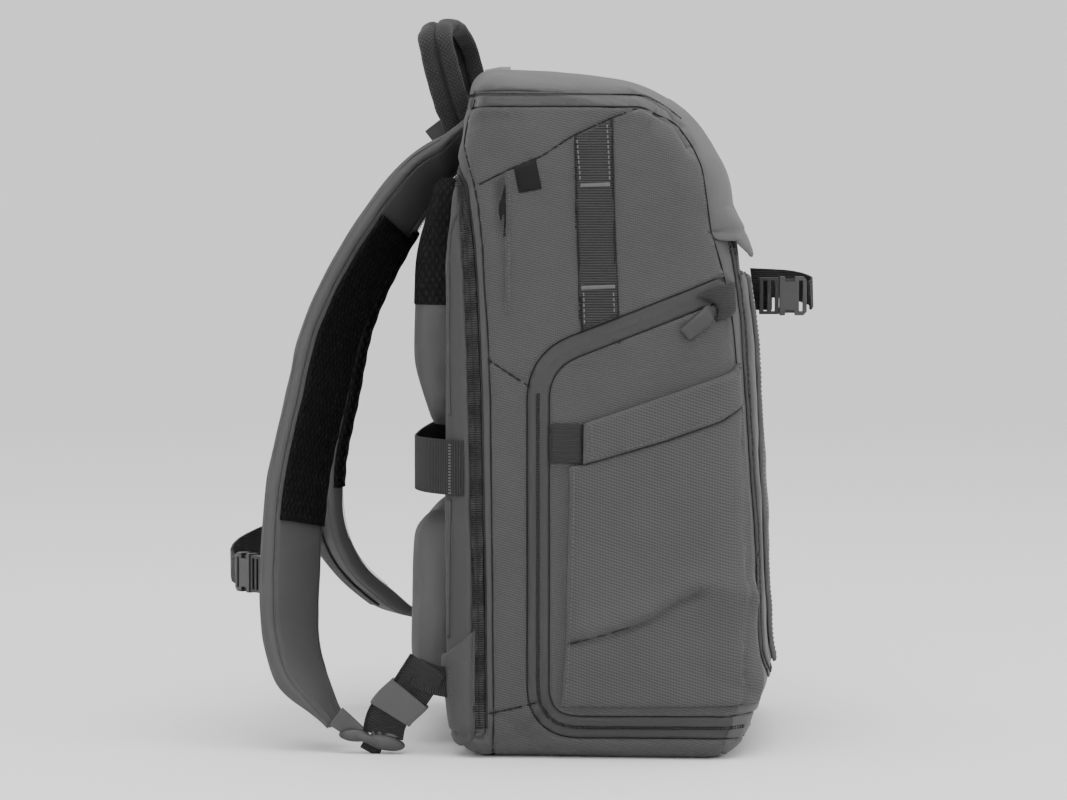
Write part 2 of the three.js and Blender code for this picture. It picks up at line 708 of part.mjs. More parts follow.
// A U in the front view: down one side, round the lower corners and up the other side
function frontU(halfWidth, low, top, corner) {
  const points = [];
  for (const side of [-1, 1]) {
    const half = [new THREE.Vector2(side * halfWidth, top)];
    for (const degrees of CORNER_STEPS) {
      const angle = THREE.MathUtils.degToRad(degrees);
      half.push(new THREE.Vector2(
        side * (halfWidth - corner * (1 - Math.cos(angle))),
        low + corner * (1 - Math.sin(angle)),
      ));
    }
    points.push(...(side < 0 ? half : half.reverse()));
  }
  return points;
}

function frontZipper() {
  const low = FRONT_POCKET_LOW * BODY_HEIGHT;
  const line = frontU(FRONT_POCKET_WIDTH / 2, low, FRONT_ZIP_TOP * BODY_HEIGHT, FRONT_CORNER);
  return frontPatch(bandOutline(line, FRONT_ZIP_WIDTH), GAP, CLOTH);
}

function frontPocket() {
  const inset = FRONT_ZIP_WIDTH / 2 + GAP;
  const low = FRONT_POCKET_LOW * BODY_HEIGHT + inset;
  const top = FRONT_POCKET_TOP * BODY_HEIGHT;
  const outline = frontU(FRONT_POCKET_WIDTH / 2 - inset, low, top, FRONT_CORNER - inset);
  return frontPatch(outline, GAP, FRONT_POCKET_THICKNESS);
}

function frontFlap() {
  const inset = FRONT_ZIP_WIDTH / 2 + 2 * GAP;
  const half = FRONT_FLAP_WIDTH / 2;
  const low = FRONT_POCKET_LOW * BODY_HEIGHT + inset;
  const top = FRONT_POCKET_TOP * BODY_HEIGHT - FLAP_SHORTER;
  const outline = rectangle(-half, low, half, top);
  return frontPatch(outline, 2 * GAP + FRONT_POCKET_THICKNESS, FRONT_FLAP_THICKNESS);
}

// Side pocket with its thick elastic hem

// The pocket ends at a seam beside the front pocket's zipper
const POCKET_RANGE = {
  from: -BODY_WIDTH,
  to: -(FRONT_POCKET_WIDTH + FRONT_ZIP_WIDTH) / 2 - SEAM_CLEARANCE,
};

function sidePocket(side) {
  const top = offsetLine(sideLine(HEM_LOW_LINE), -GAP);
  const back = sideLine(POCKET_BACK_LINE);
  const outline = [...back, new THREE.Vector2(top.at(-1).x, back.at(-1).y), ...top.reverse()];
  return sidePatch(side, outline, POCKET_THICKNESS, GAP, POCKET_RANGE);
}

function pocketHem(side) {
  const outline = [...sideLine(HEM_LOW_LINE), ...sideLine(HEM_TOP_LINE).reverse()];
  return sidePatch(side, outline, HEM_THICKNESS, GAP, POCKET_RANGE);
}

function pocketTab() {
  const [top] = sideLine(HEM_TOP_LINE);
  const [low] = sideLine(HEM_LOW_LINE);
  const right = Math.min(top.x, low.x) - GAP;
  const outline = rectangle(right - POCKET_TAB_WIDTH, low.y + 2 * GAP, right, top.y);
  return sidePatch(-1, outline, POCKET_TAB_THICKNESS);
}

// Back pads: a rounded outline in the back view, with a soft front edge

function roundedRectangle(middleY, lowZ, highZ, width, corner) {
  const points = [];
  const turns = [
    [middleY + width / 2 - corner, highZ - corner, 0],
    [middleY - width / 2 + corner, highZ - corner, 90],
    [middleY - width / 2 + corner, lowZ + corner, 180],
    [middleY + width / 2 - corner, lowZ + corner, 270],
  ];
  for (const [y, z, start] of turns) {
    for (let step = 0; step <= PAD_CORNER_STEPS; step += 1) {
      const angle = THREE.MathUtils.degToRad(start + (90 * step) / PAD_CORNER_STEPS);
      points.push(new THREE.Vector2(y + corner * Math.cos(angle), z + corner * Math.sin(angle)));
    }
  }
  return points;
}

const BACK_X = BODY_CORNERS.at(-1).forward * BODY_DEPTH;

function padBox(pad) {
  return {
    middleY: pad.middle * BODY_WIDTH / 2,
    lowZ: pad.low * BODY_HEIGHT,
    highZ: pad.high * BODY_HEIGHT,
    width: pad.width * BODY_WIDTH / 2,
  };
}

// A pad swollen by an even thickness
function backPad(pad, swell = 0) {
  const { middleY, lowZ, highZ, width } = padBox(pad);
  const rings = PAD_LEVELS.map((level) => {
    const shrink = level.shrink * PAD_SOFTNESS;
    const out = pad.thickness + swell - level.soft * PAD_SOFTNESS;
    const corner = PAD_CORNER - shrink / 2;
    const outline = roundedRectangle(middleY, lowZ + shrink, highZ - shrink, width - 2 * shrink, corner);
    return outline.map((point) => {
      const share = (point.y - lowZ) / (highZ - lowZ);
      return new THREE.Vector3(BACK_X - out + pad.lean * pad.thickness * share, point.x, point.y);
    });
  });
  return loft(rings).subtract(BODY_CLEAR);
}

function upperPad() {
  return backPad(UPPER_PAD).subtract(strapClearance());
}

// The upper pads' top part carries a skin of spacer mesh
function upperPadMesh() {
  const { middleY, highZ, width } = padBox(UPPER_PAD);
  const skin = backPad(UPPER_PAD, GAP + PAD_MESH).subtract(backPad(UPPER_PAD, GAP));
  const inset = PAD_SOFTNESS * PAD_MESH_INSET;
  const half = width / 2 - inset;
  const from = new THREE.Vector3(-BODY_DEPTH, middleY - half, PAD_MESH_LOW * BODY_HEIGHT);
  const to = new THREE.Vector3(BACK_X - inset, middleY + half, highZ - inset);
  return skin.intersect(box(from, to)).subtract(strapClearance());
}

// The wings at the bag's foot end beside the lower pad
const WING_RANGE = { from: -BODY_WIDTH, to: -padBox(LOWER_PAD).width / 2 - WING_FROM_PAD };

// The trolley strap stands off the back between the pads
function trolleyStrap() {
  const points = TROLLEY_LINE.map(({ out, side }) => new THREE.Vector3(
    BACK_X - out * TROLLEY_REACH,
    side * BODY_WIDTH / 2,
    TROLLEY_HEIGHT * BODY_HEIGHT,
  ));
  const frames = framesAlong(points, () => UP, TROLLEY_STEPS);
  return ribbon(frames, TROLLEY_WIDTH, TROLLEY_THICKNESS).subtract(BODY_CLEAR);
}

// Shoulder straps, all made on the left; the right ones are mirrored afterwards

function strapPoints(line) {
  return line.map(({ out, height, side }) => new THREE.Vector3(
    BACK_X - out * STRAP_REACH,
    -side * BODY_WIDTH / 2,
    height * BODY_HEIGHT,
  ));
}

function strapAcross() {
  const twist = THREE.MathUtils.degToRad(STRAP_TWIST);
  return new THREE.Vector3(-Math.sin(twist), -Math.cos(twist), 0);
}

function strapFrames(line, steps, from = 0, to = 1) {
  return framesAlong(strapPoints(line), strapAcross, steps, from, to);
}

// Pieces on the strap share its steps, so that their facets run side by side
function strapStretch(line, fromStep, toStep) {
  return strapFrames(line, toStep - fromStep, fromStep / STRAP_STEPS, toStep / STRAP_STEPS);
}

// The strap narrows a little at its top and towards its end
function strapWidthAt(share) {
  const atTop = STRAP_TOP_NARROWING * (1 - THREE.MathUtils.smoothstep(share, 0, 0.25));
  const atEnd = STRAP_END_NARROWING * THREE.MathUtils.smoothstep(share, 0.72, 1);
  return STRAP_WIDTH * (1 - atTop - atEnd);
}

function strapThicknessAt(share) {
  return STRAP_THICKNESS * (1 - STRAP_END_THINNING * THREE.MathUtils.smoothstep(share, 0.9, 1));
}

function strapSection(share, grow) {
  const halfWidth = strapWidthAt(share) / 2 + grow;
  const halfThickness = strapThicknessAt(share) / 2 + grow;
  const half = STRAP_SECTION.map(({ across, thick }) => [across * halfWidth, thick * halfThickness]);
  const other = STRAP_SECTION.map(({ across, thick }) => [-across * halfWidth, -thick * halfThickness]);
  return [...half, ...other];
}

function shoulderStrap(line, lock) {
  return sweep(strapFrames(line, STRAP_STEPS), (share) => strapSection(share, 0))
    .subtract(BODY_CLEAR)
    .subtract(lockClearance(lock));
}

// The room that the top of a strap and the mesh on it take
function strapClearance() {
  return sweep(strapFrames(LEFT_STRAP_LINE, STRAP_STEPS), (share) => strapSection(share, PAD_MESH + 3 * GAP));
}

// A skin on the strap's inner face, towards the bag
function strapMesh(line) {
  const frames = strapStretch(line, MESH_FROM_STEP, MESH_TO_STEP);
  return sweep(frames, (share) => {
    const inner = strapThicknessAt(share) / 2 + GAP;
    return flatSection(strapWidthAt(share) * MESH_SHARE, inner, inner + PAD_MESH);
  }).subtract(BODY_CLEAR);
}

// Webbing on the strap's outer face, where the chest strap is hooked in
function strapRail(line) {
  const frames = strapStretch(line, RAIL_FROM_STEP, RAIL_TO_STEP);
  return sweep(frames, (share) => {
    const outer = -strapThicknessAt(share) / 2 - GAP;
    return flatSection(NARROW_WEBBING_WIDTH, outer - WEBBING, outer);
  });
}

// Lower webbing from the wing at the bag's foot to the ladder lock at the strap's end

function bodyPoint({ forward, side, height }) {
  return new THREE.Vector3(forward * BODY_DEPTH, side * BODY_WIDTH / 2, height * BODY_HEIGHT);
}

function leftWebbingFrames(steps, from = 0, to = 1) {
  const start = new THREE.Vector3(...LEFT_WEBBING_TURN.start);
  const end = new THREE.Vector3(...LEFT_WEBBING_TURN.end);
  const across = (share) => start.clone().lerp(end, share);
  return framesAlong(LEFT_WEBBING_LINE.map(bodyPoint), across, steps, from, to);
}

function lowerWebbingLeft() {
  return ribbon(leftWebbingFrames(LOOP_STEPS), SHOULDER_WEBBING_WIDTH, WEBBING)
    .subtract(WING_CLEAR)
    .subtract(lockClearance(LEFT_LOCK));
}

// A cloth keeper wraps the webbing's middle; its hole runs a little past both of its ends
function webbingKeeper() {
  const width = SHOULDER_WEBBING_WIDTH + 2 * GAP;
  const thickness = WEBBING + 2 * GAP;
  const past = (KEEPER.to - KEEPER.from) / 6;
  const around = leftWebbingFrames(4, KEEPER.from, KEEPER.to);
  const within = leftWebbingFrames(14, KEEPER.from - past, KEEPER.to + past);
  const outside = ribbon(around, width + 2 * WEBBING, thickness + 2 * WEBBING);
  return outside.subtract(ribbon(within, width, thickness));
}

function lowerWebbingRight() {
  const across = new THREE.Vector3(...RIGHT_WEBBING_ACROSS);
  const frames = framesAlong(RIGHT_WEBBING_LINE.map(bodyPoint), () => across, 4);
  const band = ribbon(frames, SHOULDER_WEBBING_WIDTH * RIGHT_WEBBING_NARROWER, WEBBING);
  return mirrored(band.subtract(WING_CLEAR).subtract(lockClearance(RIGHT_LOCK)));
}

function lockMatrix(lock) {
  const along = new THREE.Vector3(...lock.along).normalize();
  const width = new THREE.Vector3(...lock.width).normalize();
  const normal = new THREE.Vector3().crossVectors(along, width);
  return new THREE.Matrix4().makeBasis(along, width, normal).setPosition(bodyPoint(lock.at)).toArray();
}

// The room that a lock takes, which webbing and straps end at
function lockClearance(lock) {
  const half = new THREE.Vector3(LOCK_LENGTH, LOCK_DEPTH, LOCK_THICKNESS).multiplyScalar(0.5).addScalar(GAP);
  return box(half.clone().negate(), half).transform(lockMatrix(lock));
}

// A ladder lock: a plate with two slots, made flat with its length along X
function ladderLock() {
  const halfLength = LOCK_LENGTH / 2;
  const halfDepth = LOCK_DEPTH / 2;
  const end = LOCK_DEPTH / 4;
  const quarter = [new THREE.Vector2(halfLength, end), new THREE.Vector2(halfLength - end, halfDepth)];
  const half = [...quarter, ...quarter.map((point) => new THREE.Vector2(-point.x, point.y)).reverse()];
  const shape = new THREE.Shape([...half, ...half.map((point) => point.clone().negate())]);
  const slotHalf = (SHOULDER_WEBBING_WIDTH + STRAP_SLOT) / 2;
  const near = LOCK_MIDDLE_BAR / 2;
  const far = halfDepth - BUCKLE_BAR;
  shape.holes.push(new THREE.Path(rectangle(-slotHalf, near, slotHalf, far)));
  shape.holes.push(new THREE.Path(rectangle(-slotHalf, -far, slotHalf, -near)));
  return plate(shape, LOCK_THICKNESS);
}

// Grab handle

function grabHandle() {
  const points = HANDLE_LINE.map(({ forward, rise, side }) => new THREE.Vector3(
    forward * BODY_DEPTH,
    side * HANDLE_SPREAD,
    BODY_HEIGHT + rise * HANDLE_RISE,
  ));
  const across = new THREE.Vector3(...HANDLE_ACROSS);
  const frames = framesAlong(points, () => across, HANDLE_STEPS);
  const section = HANDLE_SECTION.map((point) => [
    point.across * HANDLE_WIDTH / 2,
    point.thick * HANDLE_THICKNESS / 2,
  ]);
  return sweep(frames, () => section).subtract(BODY_CLEAR).subtract(strapClearance());
}

// Side-release buckle, made flat: its length along X, the plug towards -X, the mouth at x = 0

function buckleOutline(fromX, toX, halfWidth, chamfer) {
  return new THREE.Shape([
    new THREE.Vector2(fromX, -halfWidth),
    new THREE.Vector2(toX - chamfer, -halfWidth),
    new THREE.Vector2(toX, -halfWidth + chamfer),
    new THREE.Vector2(toX, halfWidth - chamfer),
    new THREE.Vector2(toX - chamfer, halfWidth),
    new THREE.Vector2(fromX, halfWidth),
  ]);
}

function plate(shape, thickness) {
  const geometry = new THREE.ExtrudeGeometry(shape, { depth: thickness, bevelEnabled: false });
  geometry.translate(0, 0, -thickness / 2);
  return solidOf(geometry);
}

const MOUTH_HALF = BUCKLE_WIDTH / 2 - BUCKLE_SHELL;

// A cut that runs right through a buckle's thickness
function through(fromX, fromY, toX, toY) {
  const from = new THREE.Vector3(fromX, fromY, -BUCKLE_THICKNESS);
  const to = new THREE.Vector3(toX, toY, BUCKLE_THICKNESS);
  return box(from, to);
}

function webbingSlot(fromX) {
  const half = NARROW_WEBBING_WIDTH / 2 + STRAP_SLOT_PLAY;
  return through(fromX, -half, fromX + STRAP_SLOT, half);
}

function buckleSocket() {
  const half = BUCKLE_WIDTH / 2;
  const shell = plate(buckleOutline(0, BUCKLE_LENGTH, half, BUCKLE_CHAMFER), BUCKLE_THICKNESS);
  const tongue = TONGUE_THICKNESS / 2 + GAP;
  const cuts = [
    box(
      new THREE.Vector3(-CUT_PAST, -MOUTH_HALF, -tongue),
      new THREE.Vector3(MOUTH_DEPTH, MOUTH_HALF, tongue),
    ),
    through(RELEASE_FROM, -half - CUT_PAST, RELEASE_TO, -half + PRONG_WIDTH),
    through(RELEASE_FROM, half - PRONG_WIDTH, RELEASE_TO, half + CUT_PAST),
    webbingSlot(BUCKLE_LENGTH - BUCKLE_BAR - STRAP_SLOT),
  ];
  return cuts.reduce((solid, cut) => solid.subtract(cut), shell);
}

function bucklePlug() {
  const half = BUCKLE_WIDTH / 2 - PLUG_NARROWER;
  const outline = rectangle(-PLUG_LENGTH, -half, -GAP, half);
  const frame = plate(new THREE.Shape(outline), PLUG_THICKNESS);
  const slots = [BUCKLE_BAR, 2 * BUCKLE_BAR + STRAP_SLOT].map((start) => webbingSlot(start - PLUG_LENGTH));
  const prongFar = MOUTH_HALF - GAP;
  const thick = TONGUE_THICKNESS / 2;
  const prongs = [prongFar - PRONG_WIDTH, -prongFar].map((fromY) => box(
    new THREE.Vector3(-CUT_PAST, fromY, -thick),
    new THREE.Vector3(MOUTH_DEPTH - CUT_PAST, fromY + PRONG_WIDTH, thick),
  ));
  const body = slots.reduce((solid, slot) => solid.subtract(slot), frame);
  return prongs.reduce((solid, prong) => solid.add(prong), body);
}

// Assembly

const bag = new THREE.Group();
const SIDES = [{ name: "left", side: -1 }, { name: "right", side: 1 }];

function add(name, solid, material, parent = bag) {
  const mesh = new THREE.Mesh(geometryOf(solid), material);
  mesh.name = name;
  parent.add(mesh);
  return mesh;
}

function addBoth(name, solid, material) {
  add(`${name}_left`, solid, material);
  add(`${name}_right`, mirrored(solid), material);
}

function addBody() {
  const { lid, back, door, main } = panels();
  add("main_body", main, MATERIALS.sideCloth);
  add("lid", lid, MATERIALS.coatedCloth);
  add("back_panel", back, MATERIALS.sideCloth);
  add("side_door", door, MATERIALS.sideCloth);
  SIDES.forEach(({ name }, index) => {
    add(`lid_zipper_${name}`, zipTape(lidZipLine, LID_ZIP_WIDTH, lidSides[index]), MATERIALS.zipper);
  });
  add("back_zipper", zipTape(backZipLine, BACK_ZIP_WIDTH, ALL_ACROSS), MATERIALS.zipper);
  add("side_door_zipper", zipTape(doorZipLine, DOOR_ZIP_WIDTH, LEFT_SIDE), MATERIALS.zipper);
  add("hood", hood(), MATERIALS.coatedCloth);
}

function addFront() {
  add("front_zipper", frontZipper(), MATERIALS.zipper);
  add("front_pocket", frontPocket(), MATERIALS.coatedCloth);
  add("front_flap", frontFlap(), MATERIALS.coatedCloth);
}

function addSides() {
  const webbingOutline = bandOutline(sideLine(SIDE_WEBBING_LINE), SIDE_WEBBING_WIDTH);
  for (const { name, side } of SIDES) {
    add(`side_pocket_${name}`, sidePocket(side), MATERIALS.sideCloth);
    add(`pocket_hem_${name}`, pocketHem(side), MATERIALS.webbing);
    add(`side_webbing_${name}`, sidePatch(side, webbingOutline, WEBBING), MATERIALS.webbing);
    const wing = sidePatch(side, sideLine(WING_OUTLINE), WING_THICKNESS, GAP, WING_RANGE);
    add(`wing_${name}`, wing, MATERIALS.coatedCloth);
  }
  add("pocket_tab", pocketTab(), MATERIALS.webbing);
  const slotOutline = bandOutline(sideLine(SLOT_FLAP_LINE), SLOT_FLAP_WIDTH);
  add("slot_flap", sidePatch(-1, slotOutline, CLOTH), MATERIALS.sideCloth);
  add("side_label", sidePatch(-1, sideLine(LABEL_OUTLINE), LABEL_THICKNESS), MATERIALS.label);
  add("zip_garage", sidePatch(-1, sideLine(GARAGE_OUTLINE), CLOTH), MATERIALS.sideCloth);
  const pullOutline = bandOutline(sideLine(DOOR_PULL_LINE), TAB_WIDTH);
  add("side_door_pull", sidePatch(-1, pullOutline, PULL_THICKNESS, 2 * GAP + CLOTH), MATERIALS.rubber);
}

function addBack() {
  addBoth("upper_back_pad", upperPad(), MATERIALS.sideCloth);
  addBoth("upper_pad_mesh", upperPadMesh(), MATERIALS.mesh);
  add("lower_back_pad", backPad(LOWER_PAD), MATERIALS.sideCloth);
  add("trolley_strap", trolleyStrap(), MATERIALS.webbing);
  add("grab_handle", grabHandle(), MATERIALS.sideCloth);
}

function addStraps() {
  add("shoulder_strap_left", shoulderStrap(LEFT_STRAP_LINE, LEFT_LOCK), MATERIALS.sideCloth);
  add("shoulder_strap_right", mirrored(shoulderStrap(RIGHT_STRAP_LINE, RIGHT_LOCK)), MATERIALS.sideCloth);
  add("strap_mesh_left", strapMesh(LEFT_STRAP_LINE), MATERIALS.mesh);
  add("strap_mesh_right", mirrored(strapMesh(RIGHT_STRAP_LINE)), MATERIALS.mesh);
  add("strap_rail_left", strapRail(LEFT_STRAP_LINE), MATERIALS.webbing);
  add("strap_rail_right", mirrored(strapRail(RIGHT_STRAP_LINE)), MATERIALS.webbing);
  add("lower_webbing_left", lowerWebbingLeft(), MATERIALS.webbing);
  add("webbing_keeper", webbingKeeper(), MATERIALS.sideCloth);
  add("lower_webbing_right", lowerWebbingRight(), MATERIALS.webbing);
}

function place(parent, middle, along, width) {
  const group = new THREE.Group();
  const normal = new THREE.Vector3().crossVectors(along, width);
  group.setRotationFromMatrix(new THREE.Matrix4().makeBasis(along, width, normal));
  group.position.copy(middle);
  parent.add(group);
  return group;
}

// The tripod strap's near run carries the buckle; the loop closes behind it
function addTripodStrap() {
  const mouth = bodyPoint({ forward: TRIPOD_MOUTH, side: TRIPOD_SIDE, height: TRIPOD_HEIGHT });
  const buckle = place(bag, mouth, FORWARD, UP);
  add("tripod_buckle_socket", buckleSocket(), MATERIALS.buckle, buckle);
  add("tripod_buckle_plug", bucklePlug(), MATERIALS.buckle, buckle);
  const end = mouth.clone().addScaledVector(FORWARD, BUCKLE_LENGTH + GAP + WEBBING);
  const route = TRIPOD_LOOP.map(({ forward, side, height }) => end.clone()
    .add(new THREE.Vector3(forward, side, height).multiplyScalar(BODY_DEPTH)));
  const clear = grownBody(() => 3 * GAP + FRONT_POCKET_THICKNESS + FRONT_FLAP_THICKNESS);
  const loop = ribbon(framesAlong(route, () => UP, LOOP_STEPS), NARROW_WEBBING_WIDTH, WEBBING);
  add("tripod_strap", loop.subtract(clear), MATERIALS.webbing);
  const beside = PLUG_THICKNESS / 2 + GAP + WEBBING / 2;
  const line = TRIPOD_TAB.map((share) => mouth.clone().add(new THREE.Vector3(share * BODY_DEPTH, beside, 0)));
  const tab = ribbon(framesAlong(line, () => UP, 1), NARROW_WEBBING_WIDTH, WEBBING).subtract(clear);
  add("tripod_tab", tab, MATERIALS.webbing);
}

// The chest strap bows out between the two shoulder straps, hooked to the rails

// Where a strap's rail passes a height: the outer face of the rail, on the left
function railPlace(line, height) {
  const frames = strapFrames(line, 200);
  const near = frames.find((frame) => frame.share > 0.3 && frame.middle.z < height * BODY_HEIGHT);
  const face = strapThicknessAt(near.share) / 2 + 2 * GAP + WEBBING;
  return { ...near, face: near.middle.clone().addScaledVector(near.out, -face) };
}

function addClip(name, rail, side) {
  const flip = new THREE.Vector3(1, side, 1);
  const across = rail.across.clone().multiply(flip);
  const out = rail.out.clone().multiply(flip);
  const middle = rail.face.clone().multiply(flip).addScaledVector(out, -CLIP_THICKNESS / 2);
  const clip = place(bag, middle, across, out);
  const size = new THREE.Vector3(NARROW_WEBBING_WIDTH + CLIP_WIDER, CLIP_THICKNESS, CLIP_LENGTH);
  const half = size.multiplyScalar(0.5);
  add(name, box(half.clone().negate(), half), MATERIALS.buckle, clip);
  return middle.addScaledVector(out, -CLIP_THICKNESS / 2 - 2 * GAP - WEBBING / 2);
}

function addChestStrap() {
  const left = addClip("chest_clip_left", railPlace(LEFT_STRAP_LINE, CHEST_HEIGHT_LEFT), 1);
  const right = addClip("chest_clip_right", railPlace(RIGHT_STRAP_LINE, CHEST_HEIGHT_RIGHT), -1);
  const along = new THREE.Vector3(...CHEST_DIRECTION).normalize();
  const mouth = left.clone().addScaledVector(along, CHEST_BUCKLE_FROM_CLIP);
  const buckle = place(bag, mouth, along, UP);
  add("chest_buckle_socket", buckleSocket(), MATERIALS.buckle, buckle);
  add("chest_buckle_plug", bucklePlug(), MATERIALS.buckle, buckle);
  const short = framesAlong([left, mouth.clone().addScaledVector(along, -PLUG_LENGTH - GAP)], () => UP, 1);
  add("chest_webbing_left", ribbon(short, NARROW_WEBBING_WIDTH, WEBBING), MATERIALS.webbing);
  const start = mouth.clone().addScaledVector(along, BUCKLE_LENGTH + 2 * GAP + WEBBING / 2);
  const span = right.clone().sub(start);
  const route = CHEST_BOW.map(({ out, side, rise }) => start.clone().add(new THREE.Vector3(
    out * span.y + span.x * side * side,
    side * span.y,
    rise * span.z,
  )));
  const long = framesAlong([...route, right], () => UP, LOOP_STEPS);
  add("chest_webbing_right", ribbon(long, NARROW_WEBBING_WIDTH, WEBBING), MATERIALS.webbing);
}

// Zip pulls: a rubber tab behind the handle and a small metal one on the lid

function addPulls() {
  const across = new THREE.Vector3(...TAB_ACROSS);
  const tab = ribbon(framesAlong(TAB_LINE.map(bodyPoint), () => across, 1), TAB_WIDTH, PULL_THICKNESS);
  add("back_zip_pull", tab.subtract(BODY_CLEAR), MATERIALS.rubber);
  const [from, to] = METAL_PULL_SIDES.map((share) => share * BODY_WIDTH / 2);
  const metal = patch(sideLine(METAL_PULL_OUTLINE), GAP, GAP + PULL_THICKNESS, { from, to });
  add("lid_zip_pull", metal, MATERIALS.metal);
}

function addLocks() {
  add("ladder_lock_left", ladderLock().transform(lockMatrix(LEFT_LOCK)), MATERIALS.buckle);
  add("ladder_lock_right", mirrored(ladderLock().transform(lockMatrix(RIGHT_LOCK))), MATERIALS.buckle);
}

addBody();
addFront();
addSides();
addBack();
addStraps();
addLocks();
addTripodStrap();
addChestStrap();
addPulls();

export default bag;
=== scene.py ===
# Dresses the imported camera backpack: cloth panels with seams and folds, padded straps and pads,
# zippers, webbing, buckles, stitching and their materials, with a camera, lights and a floor.
# Lengths below are millimetres in the model's own frame: +X out of the bag's front, -Y to the
# wearer's left, +Z up. They are turned into metres where a mesh is made.

import math

import bmesh
import bpy
import numpy as np
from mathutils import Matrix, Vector
from mathutils.bvhtree import BVHTree


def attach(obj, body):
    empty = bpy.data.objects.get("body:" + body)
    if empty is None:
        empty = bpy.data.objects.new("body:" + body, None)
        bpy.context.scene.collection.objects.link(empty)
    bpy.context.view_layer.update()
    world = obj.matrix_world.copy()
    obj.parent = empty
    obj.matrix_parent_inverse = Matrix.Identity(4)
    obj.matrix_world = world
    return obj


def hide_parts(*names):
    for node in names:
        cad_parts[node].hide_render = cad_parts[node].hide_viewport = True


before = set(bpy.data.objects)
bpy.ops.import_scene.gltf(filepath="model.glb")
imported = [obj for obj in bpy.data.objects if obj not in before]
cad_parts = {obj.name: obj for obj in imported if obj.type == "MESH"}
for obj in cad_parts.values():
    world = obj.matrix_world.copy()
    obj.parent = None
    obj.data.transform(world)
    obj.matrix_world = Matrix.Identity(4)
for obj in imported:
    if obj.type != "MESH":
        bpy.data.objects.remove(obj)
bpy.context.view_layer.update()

MM = 0.001
ROOT = "root"

# Body
HEIGHT = 460.0
WIDTH = 290.0
DEPTH = 214.0
SIDE_BULGE = 6.0
SPINE_LOW = 0.2
SPINE_HIGH = 0.8
SPINE_STEP = 9.2
LONGEST_ROUNDING = 0.48
BODY_STEPS = 400
CAP_ROWS = 28
EDGE_ROWS = 12
ACROSS_ROWS = 44
GAP = 0.3

# Zippers and cloth
LID_ZIP = 11.0
BACK_ZIP = 8.0
DOOR_ZIP = 15.0
LID_ZIP_FROM = 104.4
LID_TAPER_FROM = 38.0
LID_TAPER_LENGTH = 21.0
FRONT_ZIP = 7.0
FRONT_POCKET_WIDTH = 200.0
FRONT_FLAP_WIDTH = 116.0
FRONT_CORNER = 24.0
POCKET_FRONT_Y = 111.5

# Straps
STRAP_WIDTH = 64.0
STRAP_THICKNESS = 14.0
STRAP_REACH = 110.0
STRAP_TWIST = 27.0
STRAP_STEPS = 24
NARROW_WEBBING = 20.0
SHOULDER_WEBBING = 33.0
WEBBING = 1.6
SIDE_WEBBING = 25.5
TROLLEY_WIDTH = 37.0
TROLLEY_THICKNESS = 1.8

# Handle
HANDLE_WIDTH = 24.0
HANDLE_THICKNESS = 12.0
HANDLE_SPREAD = 48.0
HANDLE_RISE = 33.0

# Back pads: how much smaller they start, how far they swell, and the height where their mesh begins
PAD_SHRINK = 3.6
PAD_SWELL = 4.0
PAD_PRESSURE = 4.0
PAD_VOXEL = 0.005
PAD_STEPS = 20
PAD_MESH_FROM = 301.3
PAD_MESH_LIFT = 0.8

# The share that all the pieces' colours are multiplied by, to suit the lights
TONE = 0.5

# The camera at the photo's angle
CAMERA_AZIMUTH = 3.0
CAMERA_ELEVATION = 3.0
CAMERA_DISTANCE = 2500.0
CAMERA_LENS = 120.5
CAMERA_RIGHT = -52.3
CAMERA_UP = 231.6

# The room around the bag, in metres
WORLD_STRENGTH = 1.42
FLOOR_RADIUS = 4.0
FLOOR_CURVE = 2.5
WALL_HEIGHT = 9.0

# The body's outline in the side view: forward is a share of DEPTH and height of HEIGHT, round and
# edge_in are shares of DEPTH and edge_across of WIDTH
BODY_CORNERS = [
    {"forward": -0.449, "height": 0.0, "round": 0.11, "edge_in": 0.065, "edge_across": 0.06},
    {"forward": 0.402, "height": 0.0, "round": 0.11, "edge_in": 0.065, "edge_across": 0.06},
    {"forward": 0.502, "height": 0.109, "round": 0.23, "edge_in": 0.17, "edge_across": 0.17},
    {"forward": 0.486, "height": 0.348, "round": 0.93, "edge_in": 0.21, "edge_across": 0.207},
    {"forward": 0.449, "height": 0.63, "round": 0.7, "edge_in": 0.21, "edge_across": 0.207},
    {"forward": 0.411, "height": 0.761, "round": 0.3, "edge_in": 0.2, "edge_across": 0.24},
    {"forward": 0.393, "height": 0.843, "round": 0.28, "edge_in": 0.17, "edge_across": 0.28},
    {"forward": 0.28, "height": 0.933, "round": 0.37, "edge_in": 0.14, "edge_across": 0.36},
    {"forward": 0.103, "height": 0.985, "round": 0.5, "edge_in": 0.11, "edge_across": 0.43},
    {"forward": -0.187, "height": 1.0, "round": 0.5, "edge_in": 0.1, "edge_across": 0.43},
    {"forward": -0.421, "height": 1.0, "round": 0.09, "edge_in": 0.1, "edge_across": 0.3},
    {"forward": -0.453, "height": 0.88, "round": 0.23, "edge_in": 0.093, "edge_across": 0.1},
    {"forward": -0.491, "height": 0.717, "round": 0.4, "edge_in": 0.093, "edge_across": 0.076},
    {"forward": -0.491, "height": 0.13, "round": 0.37, "edge_in": 0.093, "edge_across": 0.076},
]
BACK_X = BODY_CORNERS[-1]["forward"] * DEPTH

